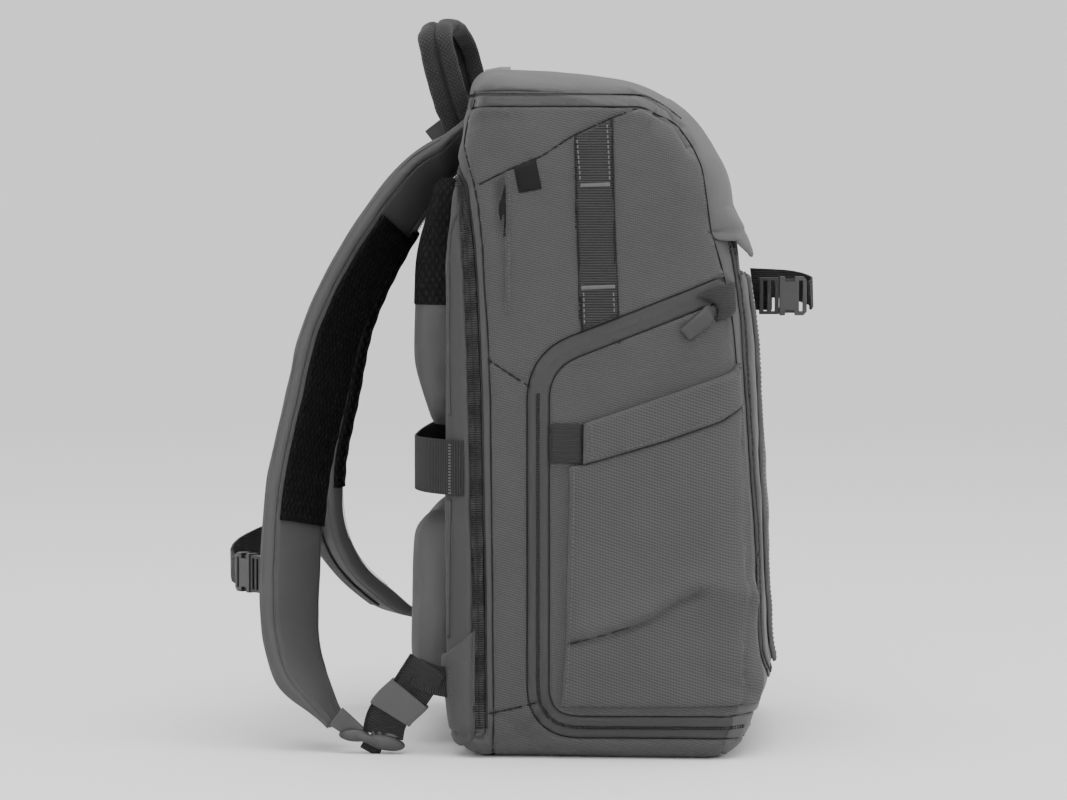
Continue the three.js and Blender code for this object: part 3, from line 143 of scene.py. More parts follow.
# Seam lines in the side view, as shares [forward, height]
LID_ZIP_LINE = [[-0.607, 0.952], [0.131, 0.952], [0.187, 0.937], [0.234, 0.92], [0.276, 0.885]]
LID_SEAM_LINE = [[0.308, 0.852], [0.322, 0.807], [0.336, 0.761], [0.607, 0.752]]
BACK_ZIP_LINE = [
    [-0.379, 0.037], [-0.383, 0.23], [-0.388, 0.374], [-0.393, 0.522], [-0.405, 0.661], [-0.416, 0.743],
    [-0.439, 0.826], [-0.472, 0.857], [-0.607, 0.87],
]
DOOR_CORNERS = [
    {"forward": 0.368, "height": 0.678, "round": 0.0},
    {"forward": -0.196, "height": 0.576, "round": 0.18},
    {"forward": -0.196, "height": 0.046, "round": 0.13},
    {"forward": 0.374, "height": 0.046, "round": 0.0},
]
HEM_TOP_LINE = [[-0.053, 0.486], [0.4, 0.558], [0.5, 0.603]]
HEM_LOW_LINE = [[-0.056, 0.427], [0.2, 0.462], [0.36, 0.488], [0.5, 0.53]]
POCKET_BACK_LINE = [[-0.098, 0.425], [-0.098, 0.374], [-0.106, 0.239], [-0.107, 0.17], [-0.124, 0.078]]
SIDE_WEBBING_LINE = [[-0.026, 0.908], [-0.017, 0.761], [-0.003, 0.615]]
SLOT_FLAP_LINE = [[-0.287, 0.843], [-0.287, 0.641]]
LABEL_OUTLINE = [[-0.27, 0.853], [-0.203, 0.866], [-0.183, 0.822], [-0.254, 0.816]]
HOOD_OUTLINE = [
    [0.285, 0.826], [0.308, 0.817], [0.327, 0.783], [0.35, 0.748], [0.388, 0.745], [0.42, 0.722],
    [0.453, 0.703], [0.75, 0.697], [0.75, 0.826],
]
WING_OUTLINE = [
    [-0.393, 0.187], [-0.486, 0.148], [-0.561, 0.139], [-0.561, 0.017], [-0.43, 0.017], [-0.393, 0.03],
]

LEFT_STRAP_LINE = [
    {"out": -0.035, "height": 0.889, "side": 0.276}, {"out": 0.169, "height": 0.851, "side": 0.29},
    {"out": 0.494, "height": 0.743, "side": 0.345}, {"out": 0.741, "height": 0.623, "side": 0.414},
    {"out": 0.858, "height": 0.504, "side": 0.483}, {"out": 0.954, "height": 0.389, "side": 0.538},
    {"out": 0.985, "height": 0.26, "side": 0.6}, {"out": 0.975, "height": 0.163, "side": 0.648},
    {"out": 0.907, "height": 0.107, "side": 0.683}, {"out": 0.764, "height": 0.063, "side": 0.717},
    {"out": 0.673, "height": 0.04, "side": 0.738},
]
RIGHT_STRAP_LINE = LEFT_STRAP_LINE[:6] + [
    {"out": 0.94, "height": 0.3, "side": 0.57}, {"out": 0.87, "height": 0.252, "side": 0.6},
    {"out": 0.77, "height": 0.219, "side": 0.63}, {"out": 0.62, "height": 0.186, "side": 0.67},
    {"out": 0.49, "height": 0.162, "side": 0.71}, {"out": 0.33, "height": 0.145, "side": 0.76},
]
HANDLE_LINE = [
    {"forward": -0.463, "rise": -1.27, "side": -0.96}, {"forward": -0.505, "rise": -0.45, "side": -1.04},
    {"forward": -0.547, "rise": 0.55, "side": -0.92}, {"forward": -0.552, "rise": 0.85, "side": -0.5},
    {"forward": -0.54, "rise": 0.93, "side": 0.0}, {"forward": -0.521, "rise": 0.85, "side": 0.5},
    {"forward": -0.495, "rise": 0.5, "side": 0.88}, {"forward": -0.462, "rise": -0.35, "side": 0.98},
    {"forward": -0.44, "rise": -0.85, "side": 0.95},
]
RIGHT_WEBBING_LINE = [
    {"forward": -0.46, "side": -0.89, "height": 0.12}, {"forward": -0.525, "side": -0.86, "height": 0.126},
    {"forward": -0.58, "side": -0.83, "height": 0.131},
]
UPPER_PAD = {"middle": -0.428, "low": 0.467, "high": 0.845, "width": 0.66, "thickness": 26.0, "lean": 0.23}
LOWER_PAD = {"middle": 0.0, "low": 0.066, "high": 0.357, "width": 1.31, "thickness": 28.0, "lean": 0.1}
TROLLEY_HEIGHT = 0.4205


# Plain geometry in the side view

def spots(shares):
    return np.array([[forward * DEPTH, height * HEIGHT] for forward, height in shares])


# The place on the bag's near side that a pixel of the photo shows
def near(pixels):
    return np.array([[(px - 602) * 0.664, (759 - py) * 0.664] for px, py in pixels])


# Corners rounded by a quadratic curve; the second result holds each point's corner number, with
# parts of one along the straights
def rounded(corners, closed, steps):
    places = spots([[c["forward"], c["height"]] for c in corners])
    count = len(corners)
    points = []
    numbers = []
    for index, corner in enumerate(corners):
        at = places[index]
        if not closed and index in (0, count - 1):
            points.append(at)
            numbers.append(index)
            continue
        back = places[index - 1] - at
        ahead = places[(index + 1) % count] - at
        lengths = np.linalg.norm(back), np.linalg.norm(ahead)
        turn = math.pi - math.acos(np.dot(back, ahead) / (lengths[0] * lengths[1]))
        reach = min(corner["round"] * DEPTH * math.tan(turn / 2), LONGEST_ROUNDING * min(lengths))
        start = at + back / lengths[0] * reach
        end = at + ahead / lengths[1] * reach
        for step in range(steps + 1):
            t = step / steps
            points.append((1 - t) ** 2 * start + 2 * t * (1 - t) * at + t ** 2 * end)
            numbers.append(index)
    return np.array(points), np.array(numbers)


def distance_to(line, x, z):
    best = np.full(x.shape, 1e9)
    for a, b in zip(line[:-1], line[1:]):
        run = b - a
        length = float(np.dot(run, run))
        share = np.clip(((x - a[0]) * run[0] + (z - a[1]) * run[1]) / max(length, 1e-9), 0, 1)
        gap = np.hypot(x - a[0] - share * run[0], z - a[1] - share * run[1])
        best = np.minimum(best, gap)
    return best


# Positive inside a polygon, and the distance to its edge
def inside_by(polygon, x, z):
    closed = np.vstack([polygon, polygon[:1]])
    inside = np.zeros(x.shape, dtype=bool)
    for a, b in zip(closed[:-1], closed[1:]):
        crosses = (a[1] > z) != (b[1] > z)
        rise = b[1] - a[1]
        at = a[0] + (z - a[1]) * (b[0] - a[0]) / (rise if abs(rise) > 1e-9 else 1e-9)
        inside ^= crosses & (x < at)
    gap = distance_to(closed, x, z)
    return np.where(inside, gap, -gap)


def offset_line(line, distance):
    points = []
    for index, point in enumerate(line):
        before = line[max(index - 1, 0)]
        after = line[min(index + 1, len(line) - 1)]
        run = after - before
        run = run / np.linalg.norm(run)
        points.append(point + distance * np.array([-run[1], run[0]]))
    return np.array(points)


def band_outline(line, width):
    return np.vstack([offset_line(line, width / 2), offset_line(line, -width / 2)[::-1]])


def resample(line, step):
    line = np.asarray(line, dtype=float)
    gaps = np.linalg.norm(np.diff(line, axis=0), axis=1)
    along = np.concatenate([[0], np.cumsum(gaps)])
    count = max(2, int(round(along[-1] / step)) + 1)
    wanted = np.linspace(0, along[-1], count)
    return np.stack([np.interp(wanted, along, line[:, axis]) for axis in range(line.shape[1])], axis=1)


# Smooth random waves, the same in every run
def waves(points, size, seed, count=10):
    chance = np.random.default_rng(seed)
    total = np.zeros(len(points))
    for _ in range(count):
        direction = chance.normal(size=3)
        direction /= np.linalg.norm(direction)
        length = size * chance.uniform(0.7, 1.5)
        total += np.sin(points @ direction * 2 * math.pi / length + chance.uniform(0, 2 * math.pi))
    return total / math.sqrt(count)


# The body's surface as a grid of points with normals

def body_outline():
    points, numbers = rounded(BODY_CORNERS, True, 14)
    edge_in = np.array([BODY_CORNERS[n]["edge_in"] * DEPTH for n in numbers])
    edge_across = np.array([BODY_CORNERS[n]["edge_across"] * WIDTH for n in numbers])
    table = np.column_stack([points, edge_in, edge_across])
    table = np.vstack([table, table[:1]])
    gaps = np.linalg.norm(np.diff(table[:, :2], axis=0), axis=1)
    along = np.concatenate([[0], np.cumsum(gaps)])
    wanted = np.linspace(0, along[-1], BODY_STEPS, endpoint=False)
    return np.stack([np.interp(wanted, along, table[:, column]) for column in range(4)], axis=1)


def spine(at):
    height = np.clip(at[:, 1], SPINE_LOW * HEIGHT, SPINE_HIGH * HEIGHT)
    return np.column_stack([np.zeros(len(at)), height])


def edge_ring(outline, side, turn):
    at = outline[:, :2]
    inward = spine(at) - at
    inward /= np.linalg.norm(inward, axis=1)[:, None]
    place = at + inward * (outline[:, 2] * (1 - math.cos(turn)))[:, None]
    rim = WIDTH / 2 - SIDE_BULGE
    y = side * (rim - outline[:, 3] * (1 - math.sin(turn)))
    return np.column_stack([place[:, 0], y, place[:, 1]])


# Near the spine the places close up on shared heights, so that both halves meet point to point
def side_ring(outline, side, share):
    rim = edge_ring(outline, side, math.pi / 2)
    middle = spine(rim[:, [0, 2]])
    shared = np.round(middle[:, 1] / SPINE_STEP) * SPINE_STEP
    middle[:, 1] += (shared - middle[:, 1]) * share ** 8
    place = rim[:, [0, 2]] * (1 - share) + middle * share
    y = rim[:, 1] + side * SIDE_BULGE * (1 - (1 - share) ** 2)
    return np.column_stack([place[:, 0], y, place[:, 1]])


def body_grid():
    outline = body_outline()
    rows = [side_ring(outline, -1, 1 - row / CAP_ROWS) for row in range(CAP_ROWS)]
    rows += [edge_ring(outline, -1, math.pi / 2 * (1 - row / EDGE_ROWS)) for row in range(EDGE_ROWS)]
    first = edge_ring(outline, -1, 0)
    last = edge_ring(outline, 1, 0)
    rows += [first + (last - first) * row / ACROSS_ROWS for row in range(ACROSS_ROWS + 1)]
    rows += [edge_ring(outline, 1, math.pi / 2 * row / EDGE_ROWS) for row in range(1, EDGE_ROWS + 1)]
    rows += [side_ring(outline, 1, row / CAP_ROWS) for row in range(1, CAP_ROWS + 1)]
    grid = np.stack(rows)
    around = np.roll(grid, -1, axis=1) - np.roll(grid, 1, axis=1)
    across = np.gradient(grid, axis=0)
    normals = np.cross(around, across)
    lengths = np.linalg.norm(normals, axis=2, keepdims=True)
    normals = np.where(lengths > 1e-6, normals / np.maximum(lengths, 1e-6), 0)
    outward = grid - np.array([0, 0, 0.5 * HEIGHT])
    if (normals * outward).sum() < 0:
        normals = -normals
    for row in (0, -1):
        normals[row] = [0, -1 if row == 0 else 1, 0]
    count = grid.shape[1]
    index = np.arange(grid.shape[0] * count).reshape(grid.shape[0], count)
    a = index[:-1].ravel()
    b = np.roll(index, -1, axis=1)[:-1].ravel()
    c = np.roll(index, -1, axis=1)[1:].ravel()
    d = index[1:].ravel()
    triangles = np.vstack([np.column_stack([a, b, c]), np.column_stack([a, c, d])])
    table = np.column_stack([grid.reshape(-1, 3), normals.reshape(-1, 3)])
    return welded(table, triangles)


def welded(table, triangles):
    _, first, same = np.unique(np.round(table[:, :3], 3), axis=0, return_index=True, return_inverse=True)
    triangles = same.ravel()[triangles]
    a, b, c = triangles.T
    return table[first], triangles[(a != b) & (b != c) & (a != c)]


# Cuts triangles along the line where a value is nought; the points' columns go along
def cut(table, triangles, values, snap=0.1):
    signs = np.where(np.abs(values) < snap, 0, np.sign(values)).astype(int)
    corner_signs = signs[triangles]
    crossing = (corner_signs.min(axis=1) < 0) & (corner_signs.max(axis=1) > 0)
    kept = triangles[~crossing]
    crossed = triangles[crossing]
    if len(crossed) == 0:
        return table, triangles
    edges = np.vstack([crossed[:, [0, 1]], crossed[:, [1, 2]], crossed[:, [2, 0]]])
    edges.sort(axis=1)
    edges = np.unique(edges, axis=0)
    edges = edges[signs[edges[:, 0]] * signs[edges[:, 1]] < 0]
    low = values[edges[:, 0]]
    high = values[edges[:, 1]]
    share = (low / (low - high))[:, None]
    new_points = table[edges[:, 0]] * (1 - share) + table[edges[:, 1]] * share
    numbers = {(int(e[0]), int(e[1])): len(table) + n for n, e in enumerate(edges)}
    table = np.vstack([table, new_points])
    pieces = []
    for triangle in crossed.tolist():
        s = [signs[v] for v in triangle]
        if 0 in s:
            turn = s.index(0)
            a, b, c = triangle[turn:] + triangle[:turn]
            m = numbers[(min(b, c), max(b, c))]
            pieces += [(a, b, m), (a, m, c)]
            continue
        lone = next(k for k in range(3) if s.count(s[k]) == 1)
        a, b, c = triangle[lone:] + triangle[:lone]
        ab = numbers[(min(a, b), max(a, b))]
        ac = numbers[(min(a, c), max(a, c))]
        pieces += [(a, ab, ac), (ab, b, c), (ab, c, ac)]
    return table, np.vstack([kept, np.array(pieces)])


# Making objects

def box_uv(mesh, points):
    layer = mesh.uv_layers.new(name="cloth")
    loops = np.zeros(len(mesh.loops), dtype=np.int64)
    mesh.loops.foreach_get("vertex_index", loops)
    normals = np.zeros(len(mesh.polygons) * 3)
    mesh.polygons.foreach_get("normal", normals)
    normals = np.abs(normals.reshape(-1, 3))
    totals = np.zeros(len(mesh.polygons), dtype=np.int64)
    mesh.polygons.foreach_get("loop_total", totals)
    axis = np.repeat(normals.argmax(axis=1), totals)
    places = points[loops]
    flat = np.where(axis == 0, places[:, 1], places[:, 0])
    up = np.where(axis == 2, places[:, 1], places[:, 2])
    layer.data.foreach_set("uv", np.column_stack([flat, up]).ravel())


def make_object(name, points_mm, faces, material, smooth=True, uv=None):
    points = np.asarray(points_mm, dtype=float) * MM
    mesh = bpy.data.meshes.new(name)
    mesh.from_pydata(points.tolist(), [], [list(map(int, face)) for face in faces])
    mesh.validate()
    mesh.polygons.foreach_set("use_smooth", [smooth] * len(mesh.polygons))
    mesh.update()
    if uv is None:
        box_uv(mesh, points)
    else:
        layer = mesh.uv_layers.new(name="cloth")
        loops = np.zeros(len(mesh.loops), dtype=np.int64)
        mesh.loops.foreach_get("vertex_index", loops)
        layer.data.foreach_set("uv", (np.asarray(uv) * MM)[loops].ravel())
    mesh.materials.append(material)
    thing = bpy.data.objects.new(name, mesh)
    bpy.context.scene.collection.objects.link(thing)
    return thing


# The faces between rings of points that lie one after another
def side_faces(rings, count):
    faces = []
    for ring in range(rings - 1):
        for corner in range(count):
            a = ring * count + corner
            b = ring * count + (corner + 1) % count
            faces.append([a, b, b + count, a + count])
    return faces


def tube_faces(rings, count):
    first = list(range(count))[::-1]
    last = [(rings - 1) * count + corner for corner in range(count)]
    return side_faces(rings, count) + [first, last]


# Hangs a piece on the root, which it rides on, and hides the nodes that it stands for
def piece(thing, slot, nodes=()):
    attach(thing, ROOT)
    if nodes:
        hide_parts(*nodes)
    return thing


def sub_mesh(table, triangles, chosen):
    picked = triangles[chosen]
    used, inverse = np.unique(picked, return_inverse=True)
    return table[used], inverse.reshape(-1, 3)


# Materials

class Nodes:
    def __init__(self, name, roughness, metallic=0.0, sheen=0.0, gloss=0.22):
        self.material = bpy.data.materials.new(name)
        self.material.use_nodes = True
        self.tree = self.material.node_tree
        self.shader = self.tree.nodes["Principled BSDF"]
        self.shader.inputs["Roughness"].default_value = roughness
        self.shader.inputs["Metallic"].default_value = metallic
        self.shader.inputs["Specular IOR Level"].default_value = gloss
        self.shader.inputs["Sheen Weight"].default_value = sheen
        self.coordinates = self.new("ShaderNodeUVMap")
        self.coordinates.uv_map = "cloth"
        split = self.new("ShaderNodeSeparateXYZ")
        self.join(self.coordinates.outputs["UV"], split.inputs[0])
        self.u = split.outputs[0]
        self.v = split.outputs[1]
        self.place = self.new("ShaderNodeTexCoord").outputs["Object"]

    def new(self, kind):
        return self.tree.nodes.new(kind)

    def join(self, output, socket):
        self.tree.links.new(output, socket)

    def math(self, operation, a, b=0.0):
        node = self.new("ShaderNodeMath")
        node.operation = operation
        for socket, value in zip(node.inputs, (a, b)):
            if isinstance(value, (int, float)):
                socket.default_value = value
            else:
                self.join(value, socket)
        return node.outputs[0]

    def mixed(self, a, b, share):
        return self.math("ADD", self.math("MULTIPLY", a, 1 - share), self.math("MULTIPLY", b, share))

    # A wave from 0 to 1 along a slanting direction of the cloth, one rib every pitch metres
    def ribs(self, pitch, slant=0.0, wobble=None):
        turn = math.radians(slant)
        along = self.math(
            "ADD",
            self.math("MULTIPLY", self.v, math.cos(turn) * 2 * math.pi / pitch),
            self.math("MULTIPLY", self.u, math.sin(turn) * 2 * math.pi / pitch),
        )
        if wobble is not None:
            along = self.math("ADD", along, wobble)
        return self.math("ADD", self.math("MULTIPLY", self.math("SINE", along), 0.5), 0.5)

    def noise(self, scale, detail=3.0):
        node = self.new("ShaderNodeTexNoise")
        node.inputs["Scale"].default_value = scale
        node.inputs["Detail"].default_value = detail
        self.join(self.place, node.inputs["Vector"])
        return node.outputs["Fac"]

    # Colour between two greys by a factor from 0 to 1
    def colour(self, factor, dark, light):
        ramp = self.new("ShaderNodeMix")
        ramp.data_type = "RGBA"
        self.join(factor, ramp.inputs["Factor"])
        ramp.inputs["A"].default_value = (*dark, 1)
        ramp.inputs["B"].default_value = (*light, 1)
        self.join(ramp.outputs["Result"], self.shader.inputs["Base Color"])

    def bump(self, height, depth, strength=1.0):
        node = self.new("ShaderNodeBump")
        node.inputs["Strength"].default_value = strength
        node.inputs["Distance"].default_value = depth
        self.join(height, node.inputs["Height"])
        self.join(node.outputs["Normal"], self.shader.inputs["Normal"])

    def rough(self, factor, low, high):
        self.join(self.math("ADD", self.math("MULTIPLY", factor, high - low), low),
                  self.shader.inputs["Roughness"])


def grey(value):
    return (value * TONE, value * TONE, value * TONE)


def ribbed_cloth(name, dark, light, slant, pitch=0.0019):
    m = Nodes(name, 0.85, sheen=0.08)
    fine = m.noise(900.0, 2.0)
    wide = m.noise(14.0, 3.0)
    wobble = m.math("MULTIPLY", m.noise(60.0, 2.0), 4.0)
    ribs = m.ribs(pitch, slant, wobble)
    cross = m.ribs(pitch * 0.9, slant + 72.0)
    thread = m.mixed(m.mixed(ribs, cross, 0.3), fine, 0.3)
    m.colour(m.mixed(thread, wide, 0.22), grey(dark), grey(light))
    m.bump(thread, 0.0005, 0.7)
    m.rough(fine, 0.78, 0.95)
    return m.material


def coated_cloth(name, dark, light, roughness=0.55):
    m = Nodes(name, roughness, sheen=0.05, gloss=0.3)
    fine = m.noise(1400.0, 2.0)
    wide = m.noise(18.0, 4.0)
    weave = m.ribs(0.0009)
    m.colour(m.mixed(wide, fine, 0.4), grey(dark), grey(light))
    m.bump(m.mixed(fine, weave, 0.5), 0.0002, 0.35)
    m.rough(wide, roughness - 0.08, roughness + 0.1)
    return m.material


# Webbing: ribs in the bump, and the colour runs dark and light across the same ribs as a painted highlight on
# each rib, mixed with fine random grain
def webbing_cloth(name, dark, light, pitch=0.0017):
    m = Nodes(name, 0.7, sheen=0.04)
    ribs = m.ribs(pitch)
    fine = m.noise(1100.0, 2.0)
    # the rib wave in the colour is a painted highlight; the fine noise is the cloth's grain
    m.colour(m.mixed(ribs, fine, 0.35), grey(dark), grey(light))
    m.bump(m.mixed(ribs, fine, 0.2), 0.0006, 0.8)
    m.rough(ribs, 0.8, 0.62)
    return m.material


def spacer_mesh(name):
    m = Nodes(name, 0.8, gloss=0.12)
    one = m.ribs(0.0042, 60.0)
    other = m.ribs(0.0042, -60.0)
    cells = m.math("MULTIPLY", one, other)
    fine = m.noise(900.0, 2.0)
    m.colour(m.mixed(cells, fine, 0.3), grey(0.004), grey(0.03))
    m.bump(cells, 0.0012, 0.9)
    m.rough(fine, 0.7, 0.95)
    return m.material


def knitted_pad(name, dark, light):
    m = Nodes(name, 0.85, sheen=0.1)
    one = m.ribs(0.0021, 45.0)
    other = m.ribs(0.0021, -45.0)
    cells = m.math("MULTIPLY", one, other)
    fine = m.noise(800.0, 2.0)
    m.colour(m.mixed(cells, fine, 0.4), grey(dark), grey(light))
    m.bump(cells, 0.0006, 0.8)
    m.rough(fine, 0.78, 0.95)
    return m.material


def moulded(name, dark, light, roughness, metallic=0.0):
    m = Nodes(name, roughness, metallic=metallic, gloss=0.4)
    fine = m.noise(2200.0, 2.0)
    wide = m.noise(40.0, 3.0)
    m.colour(wide, grey(dark), grey(light))
    m.bump(fine, 0.00006, 0.4)
    m.rough(wide, roughness - 0.05, roughness + 0.1)
    return m.material


def coil_cloth(name, dark, light):
    m = Nodes(name, 0.55)
    teeth = m.ribs(0.0016)
    fine = m.noise(1500.0, 2.0)
    m.colour(m.mixed(teeth, fine, 0.3), grey(dark), grey(light))
    m.bump(teeth, 0.0008, 0.9)
    m.rough(teeth, 0.7, 0.45)
    return m.material


SIDE_CLOTH = ribbed_cloth("side_cloth", 0.055, 0.175, 14.0, 0.0016)
POCKET_CLOTH = ribbed_cloth("pocket_cloth", 0.058, 0.18, 18.0, 0.002)
GUSSET_CLOTH = coated_cloth("gusset_cloth", 0.08, 0.112, 0.7)
LID_CLOTH = coated_cloth("lid_cloth", 0.125, 0.16, 0.55)
FRONT_CLOTH = coated_cloth("front_cloth", 0.118, 0.15, 0.6)
PAD_CLOTH = coated_cloth("pad_cloth", 0.105, 0.145, 0.75)
TAPE_CLOTH = coated_cloth("tape_cloth", 0.045, 0.068, 0.55)
LID_TAPE_CLOTH = coated_cloth("lid_tape_cloth", 0.085, 0.115, 0.5)
# Near-black colour used as painted shade in the valley beside the slot's flap
SLOT_SHADE_PAINT = coated_cloth("slot_shade_paint", 0.012, 0.02, 0.8)
DARK_WEBBING = webbing_cloth("dark_webbing", 0.008, 0.095)
STRAP_WEBBING = webbing_cloth("strap_webbing", 0.014, 0.058, 0.0014)
SELVEDGE = webbing_cloth("selvedge", 0.006, 0.03, 0.0017)
TROLLEY_WEBBING = webbing_cloth("trolley_webbing", 0.01, 0.065, 0.0019)
TAB_WEBBING = webbing_cloth("tab_webbing", 0.03, 0.06, 0.0011)
MESH_CLOTH = spacer_mesh("spacer_mesh_cloth")
HANDLE_CLOTH = knitted_pad("handle_cloth", 0.016, 0.075)
BUCKLE_PLASTIC = moulded("buckle_plastic_finish", 0.06, 0.1, 0.38)
DARK_PLASTIC = moulded("dark_plastic_finish", 0.018, 0.035, 0.42)
PULL_RUBBER = moulded("pull_rubber_finish", 0.055, 0.085, 0.6)
PULL_METAL = moulded("pull_metal_finish", 0.3, 0.42, 0.3, metallic=1.0)
LABEL_CLOTH = webbing_cloth("label_finish", 0.006, 0.014, 0.0007)
COIL_CLOTH = coil_cloth("coil_finish", 0.008, 0.05)
TOOTH_CLOTH = coil_cloth("tooth_finish", 0.05, 0.12)
BACK_TAPE_CLOTH = coated_cloth("back_tape_cloth", 0.012, 0.022, 0.6)
DOOR_TAPE_CLOTH = coated_cloth("door_tape_cloth", 0.056, 0.08, 0.55)
BACK_CLOTH = coated_cloth("back_cloth_finish", 0.075, 0.105, 0.75)
LOWER_PAD_CLOTH = coated_cloth("lower_pad_cloth", 0.15, 0.2, 0.75)
LIGHT_THREAD = moulded("light_thread", 0.2, 0.26, 0.8)
GREY_THREAD = moulded("grey_thread", 0.13, 0.17, 0.8)
DARK_THREAD = moulded("dark_thread", 0.006, 0.012, 0.8)


# Seams of the body's panels

LID_ZIP_PATH = spots(LID_ZIP_LINE)
LID_SEAM_PATH = spots(LID_ZIP_LINE[-1:] + LID_SEAM_LINE)
LID_PATH = spots(LID_ZIP_LINE + LID_SEAM_LINE)
BACK_ZIP_PATH = spots(BACK_ZIP_LINE)
BACK_FOOT_PATH = spots([[-0.607, 0.037], [-0.379, 0.037]])
DOOR_ZIP_PATH = np.vstack([rounded(DOOR_CORNERS, False, 12)[0], [[100.0, 22.0]]])
FRONT_SEAM_PATH = np.array([
    [71.9, 350.0], [78.7, 328.0], [82.0, 313.0], [85.0, 299.0], [87.4, 281.0], [89.0, 262.0], [90.6, 233.0],
    [92.0, 172.0], [93.4, 105.0], [92.5, 50.0], [86.0, 22.0], [80.0, 8.0], [78.0, -5.0],
])
GUSSET_PATH = near([
    (474, 100), (466, 123), (463, 145), (470, 167), (474, 181), (479, 206), (483, 244), (486, 301),
    (489, 340),
    (491, 400), (492.5, 550), (494, 700), (494, 735), (492, 765),
])
DIAGONAL_PATH = near([(480, 185), (506, 172), (543, 157), (573, 137), (612, 119), (636, 110)])
LOWER_BACK_PATH = near([(490, 360), (530, 386)])
BASE_PATH = near([(490, 714), (536, 703)])

# Each seam: its line, half the width of the zipper band in it, and whether it is on the left alone
SEAMS = [
    {"line": LID_ZIP_PATH, "half": LID_ZIP / 2, "sides": True},
    {"line": BACK_ZIP_PATH, "half": BACK_ZIP / 2},
    {"line": DOOR_ZIP_PATH, "half": DOOR_ZIP / 2, "left": True},
    {"line": LID_SEAM_PATH, "half": 0},
    {"line": FRONT_SEAM_PATH, "half": 0},
    {"line": GUSSET_PATH, "half": 0},
    {"line": DIAGONAL_PATH, "half": 0},
    {"line": LOWER_BACK_PATH, "half": 0},
    {"line": BASE_PATH, "half": 0},
    {"line": BACK_FOOT_PATH, "half": 0},
]
PLAIN_CUTS = [0.0, 0.9, 2.4]
BAND_CUTS = [1.3, -1.2, 0.0, 0.9, 2.6]

# Soft valleys and ridges in the cloth, by pixels of the photo, with depth and width in millimetres
BODY_FOLDS = [
    {"line": near([(502, 186), (503, 206), (504, 230)]), "depth": -6.5, "width": 4.0, "left": True},
    {"line": near([(505, 240), (506, 300)]), "depth": -1.8, "width": 3.5, "left": True},
    {"line": near([(512, 186), (512, 300)]), "depth": 1.2, "width": 4.0, "left": True},
    {"line": near([(672, 118), (686, 140), (691, 152)]), "depth": -2.2, "width": 3.2},
    {"line": near([(500, 716), (520, 728), (535, 742)]), "depth": -1.2, "width": 3.0},
    {"line": near([(505, 742), (530, 722)]), "depth": 1.0, "width": 3.5},
    {"line": near([(466, 120), (478, 150), (474, 172)]), "depth": 1.6, "width": 6.0},
    {"line": near([(505, 745), (548, 712)]), "depth": -1.6, "width": 3.0},
    {"line": near([(560, 745), (640, 752), (720, 748)]), "depth": 1.6, "width": 7.0},
    {"line": near([(470, 128), (490, 120), (520, 122)]), "depth": -1.0, "width": 3.5},
    {"line": np.array([[104.0, 46.0], [96.0, 22.0]]), "depth": 5.0, "width": 14.0},
]
POCKET_FOLDS = [
    {"line": near([(566, 643), (604, 633), (633, 625), (657, 614), (676, 601), (700, 591)]), "depth": -4.5,
     "width": 2.4},
    {"line": near([(590, 628), (633, 615), (660, 602), (690, 582), (728, 590), (748, 602)]), "depth": 5.2,
     "width": 10.0},
    {"line": near([(610, 668), (670, 650), (730, 655)]), "depth": 1.4, "width": 14.0},
    {"line": near([(600, 705), (680, 712)]), "depth": 1.5, "width": 10.0},
]


# From 0 to 1 where the lid's zipper band narrows towards the front
def lid_taper(x):
    return np.clip((x - LID_TAPER_FROM) / LID_TAPER_LENGTH, 0, 1)


def limited(gap, table, seam):
    half = seam["half"]
    if seam.get("left"):
        gap = np.maximum(gap, table[:, 1] + 60 + half)
    if seam.get("sides"):
        gap = gap + lid_taper(table[:, 0]) * (half - 0.6)
        gap = np.maximum(gap, LID_ZIP_FROM - np.abs(table[:, 1]) + half)
    return gap


def seam_gap(seam, table):
    return limited(distance_to(seam["line"], table[:, 0], table[:, 2]), table, seam)


def seam_offset(seam, gap):
    if seam["half"] == 0:
        return np.interp(gap, [0, 0.9, 2.4, 6], [-1.7, -0.7, -0.1, 0])
    half = seam["half"]
    levels = [0, 1.3, half - 1.2, half, half + 0.9, half + 2.6, half + 7]
    return np.interp(gap, levels, [-0.3, -0.8, -1.0, -2.4, -0.5, 0.3, 0])


def fold_offset(folds, table):
    total = np.zeros(len(table))
    for fold in folds:
        gap = distance_to(fold["line"], table[:, 0], table[:, 2])
        share = np.exp(-((gap / fold["width"]) ** 2))
        if fold.get("left"):
            share = share * (table[:, 1] < 0)
        total += fold["depth"] * share
    return total


def cut_along_seams(table, triangles):
    for seam in SEAMS:
        levels = BAND_CUTS if seam["half"] else PLAIN_CUTS
        for index, level in enumerate(levels):
            first = seam["half"] > 0 and index == 0
            at = level if first else seam["half"] + level
            table, triangles = cut(table, triangles, seam_gap(seam, table) - max(at, 0.001))
    return table, triangles


def base_offset(table):
    total = np.zeros(len(table))
    for seam in SEAMS:
        total += seam_offset(seam, seam_gap(seam, table))
    total = np.maximum(total, -3.2)
    total += fold_offset(BODY_FOLDS, table)
    softness = np.clip((table[:, 2] - 4) / 20, 0, 1)
    total += softness * (0.55 * waves(table[:, :3], 85.0, 3) + 0.18 * waves(table[:, :3], 28.0, 5))
    return total


def moved(table, offset):
    points = table[:, :3] + table[:, 3:6] * np.asarray(offset)[:, None]
    points[:, 2] = np.maximum(points[:, 2], 0.0)
    return points


PLAIN_TABLE, PLAIN_TRIANGLES = body_grid()
BODY_TABLE, BODY_TRIANGLES = cut_along_seams(PLAIN_TABLE, PLAIN_TRIANGLES)
BODY_POINTS = moved(BODY_TABLE, base_offset(BODY_TABLE))


def tree_of(points, triangles):
    return BVHTree.FromPolygons([Vector(p) for p in points.tolist()], triangles.tolist())


BODY_TREE = tree_of(BODY_POINTS, BODY_TRIANGLES)
FAR = 400.0


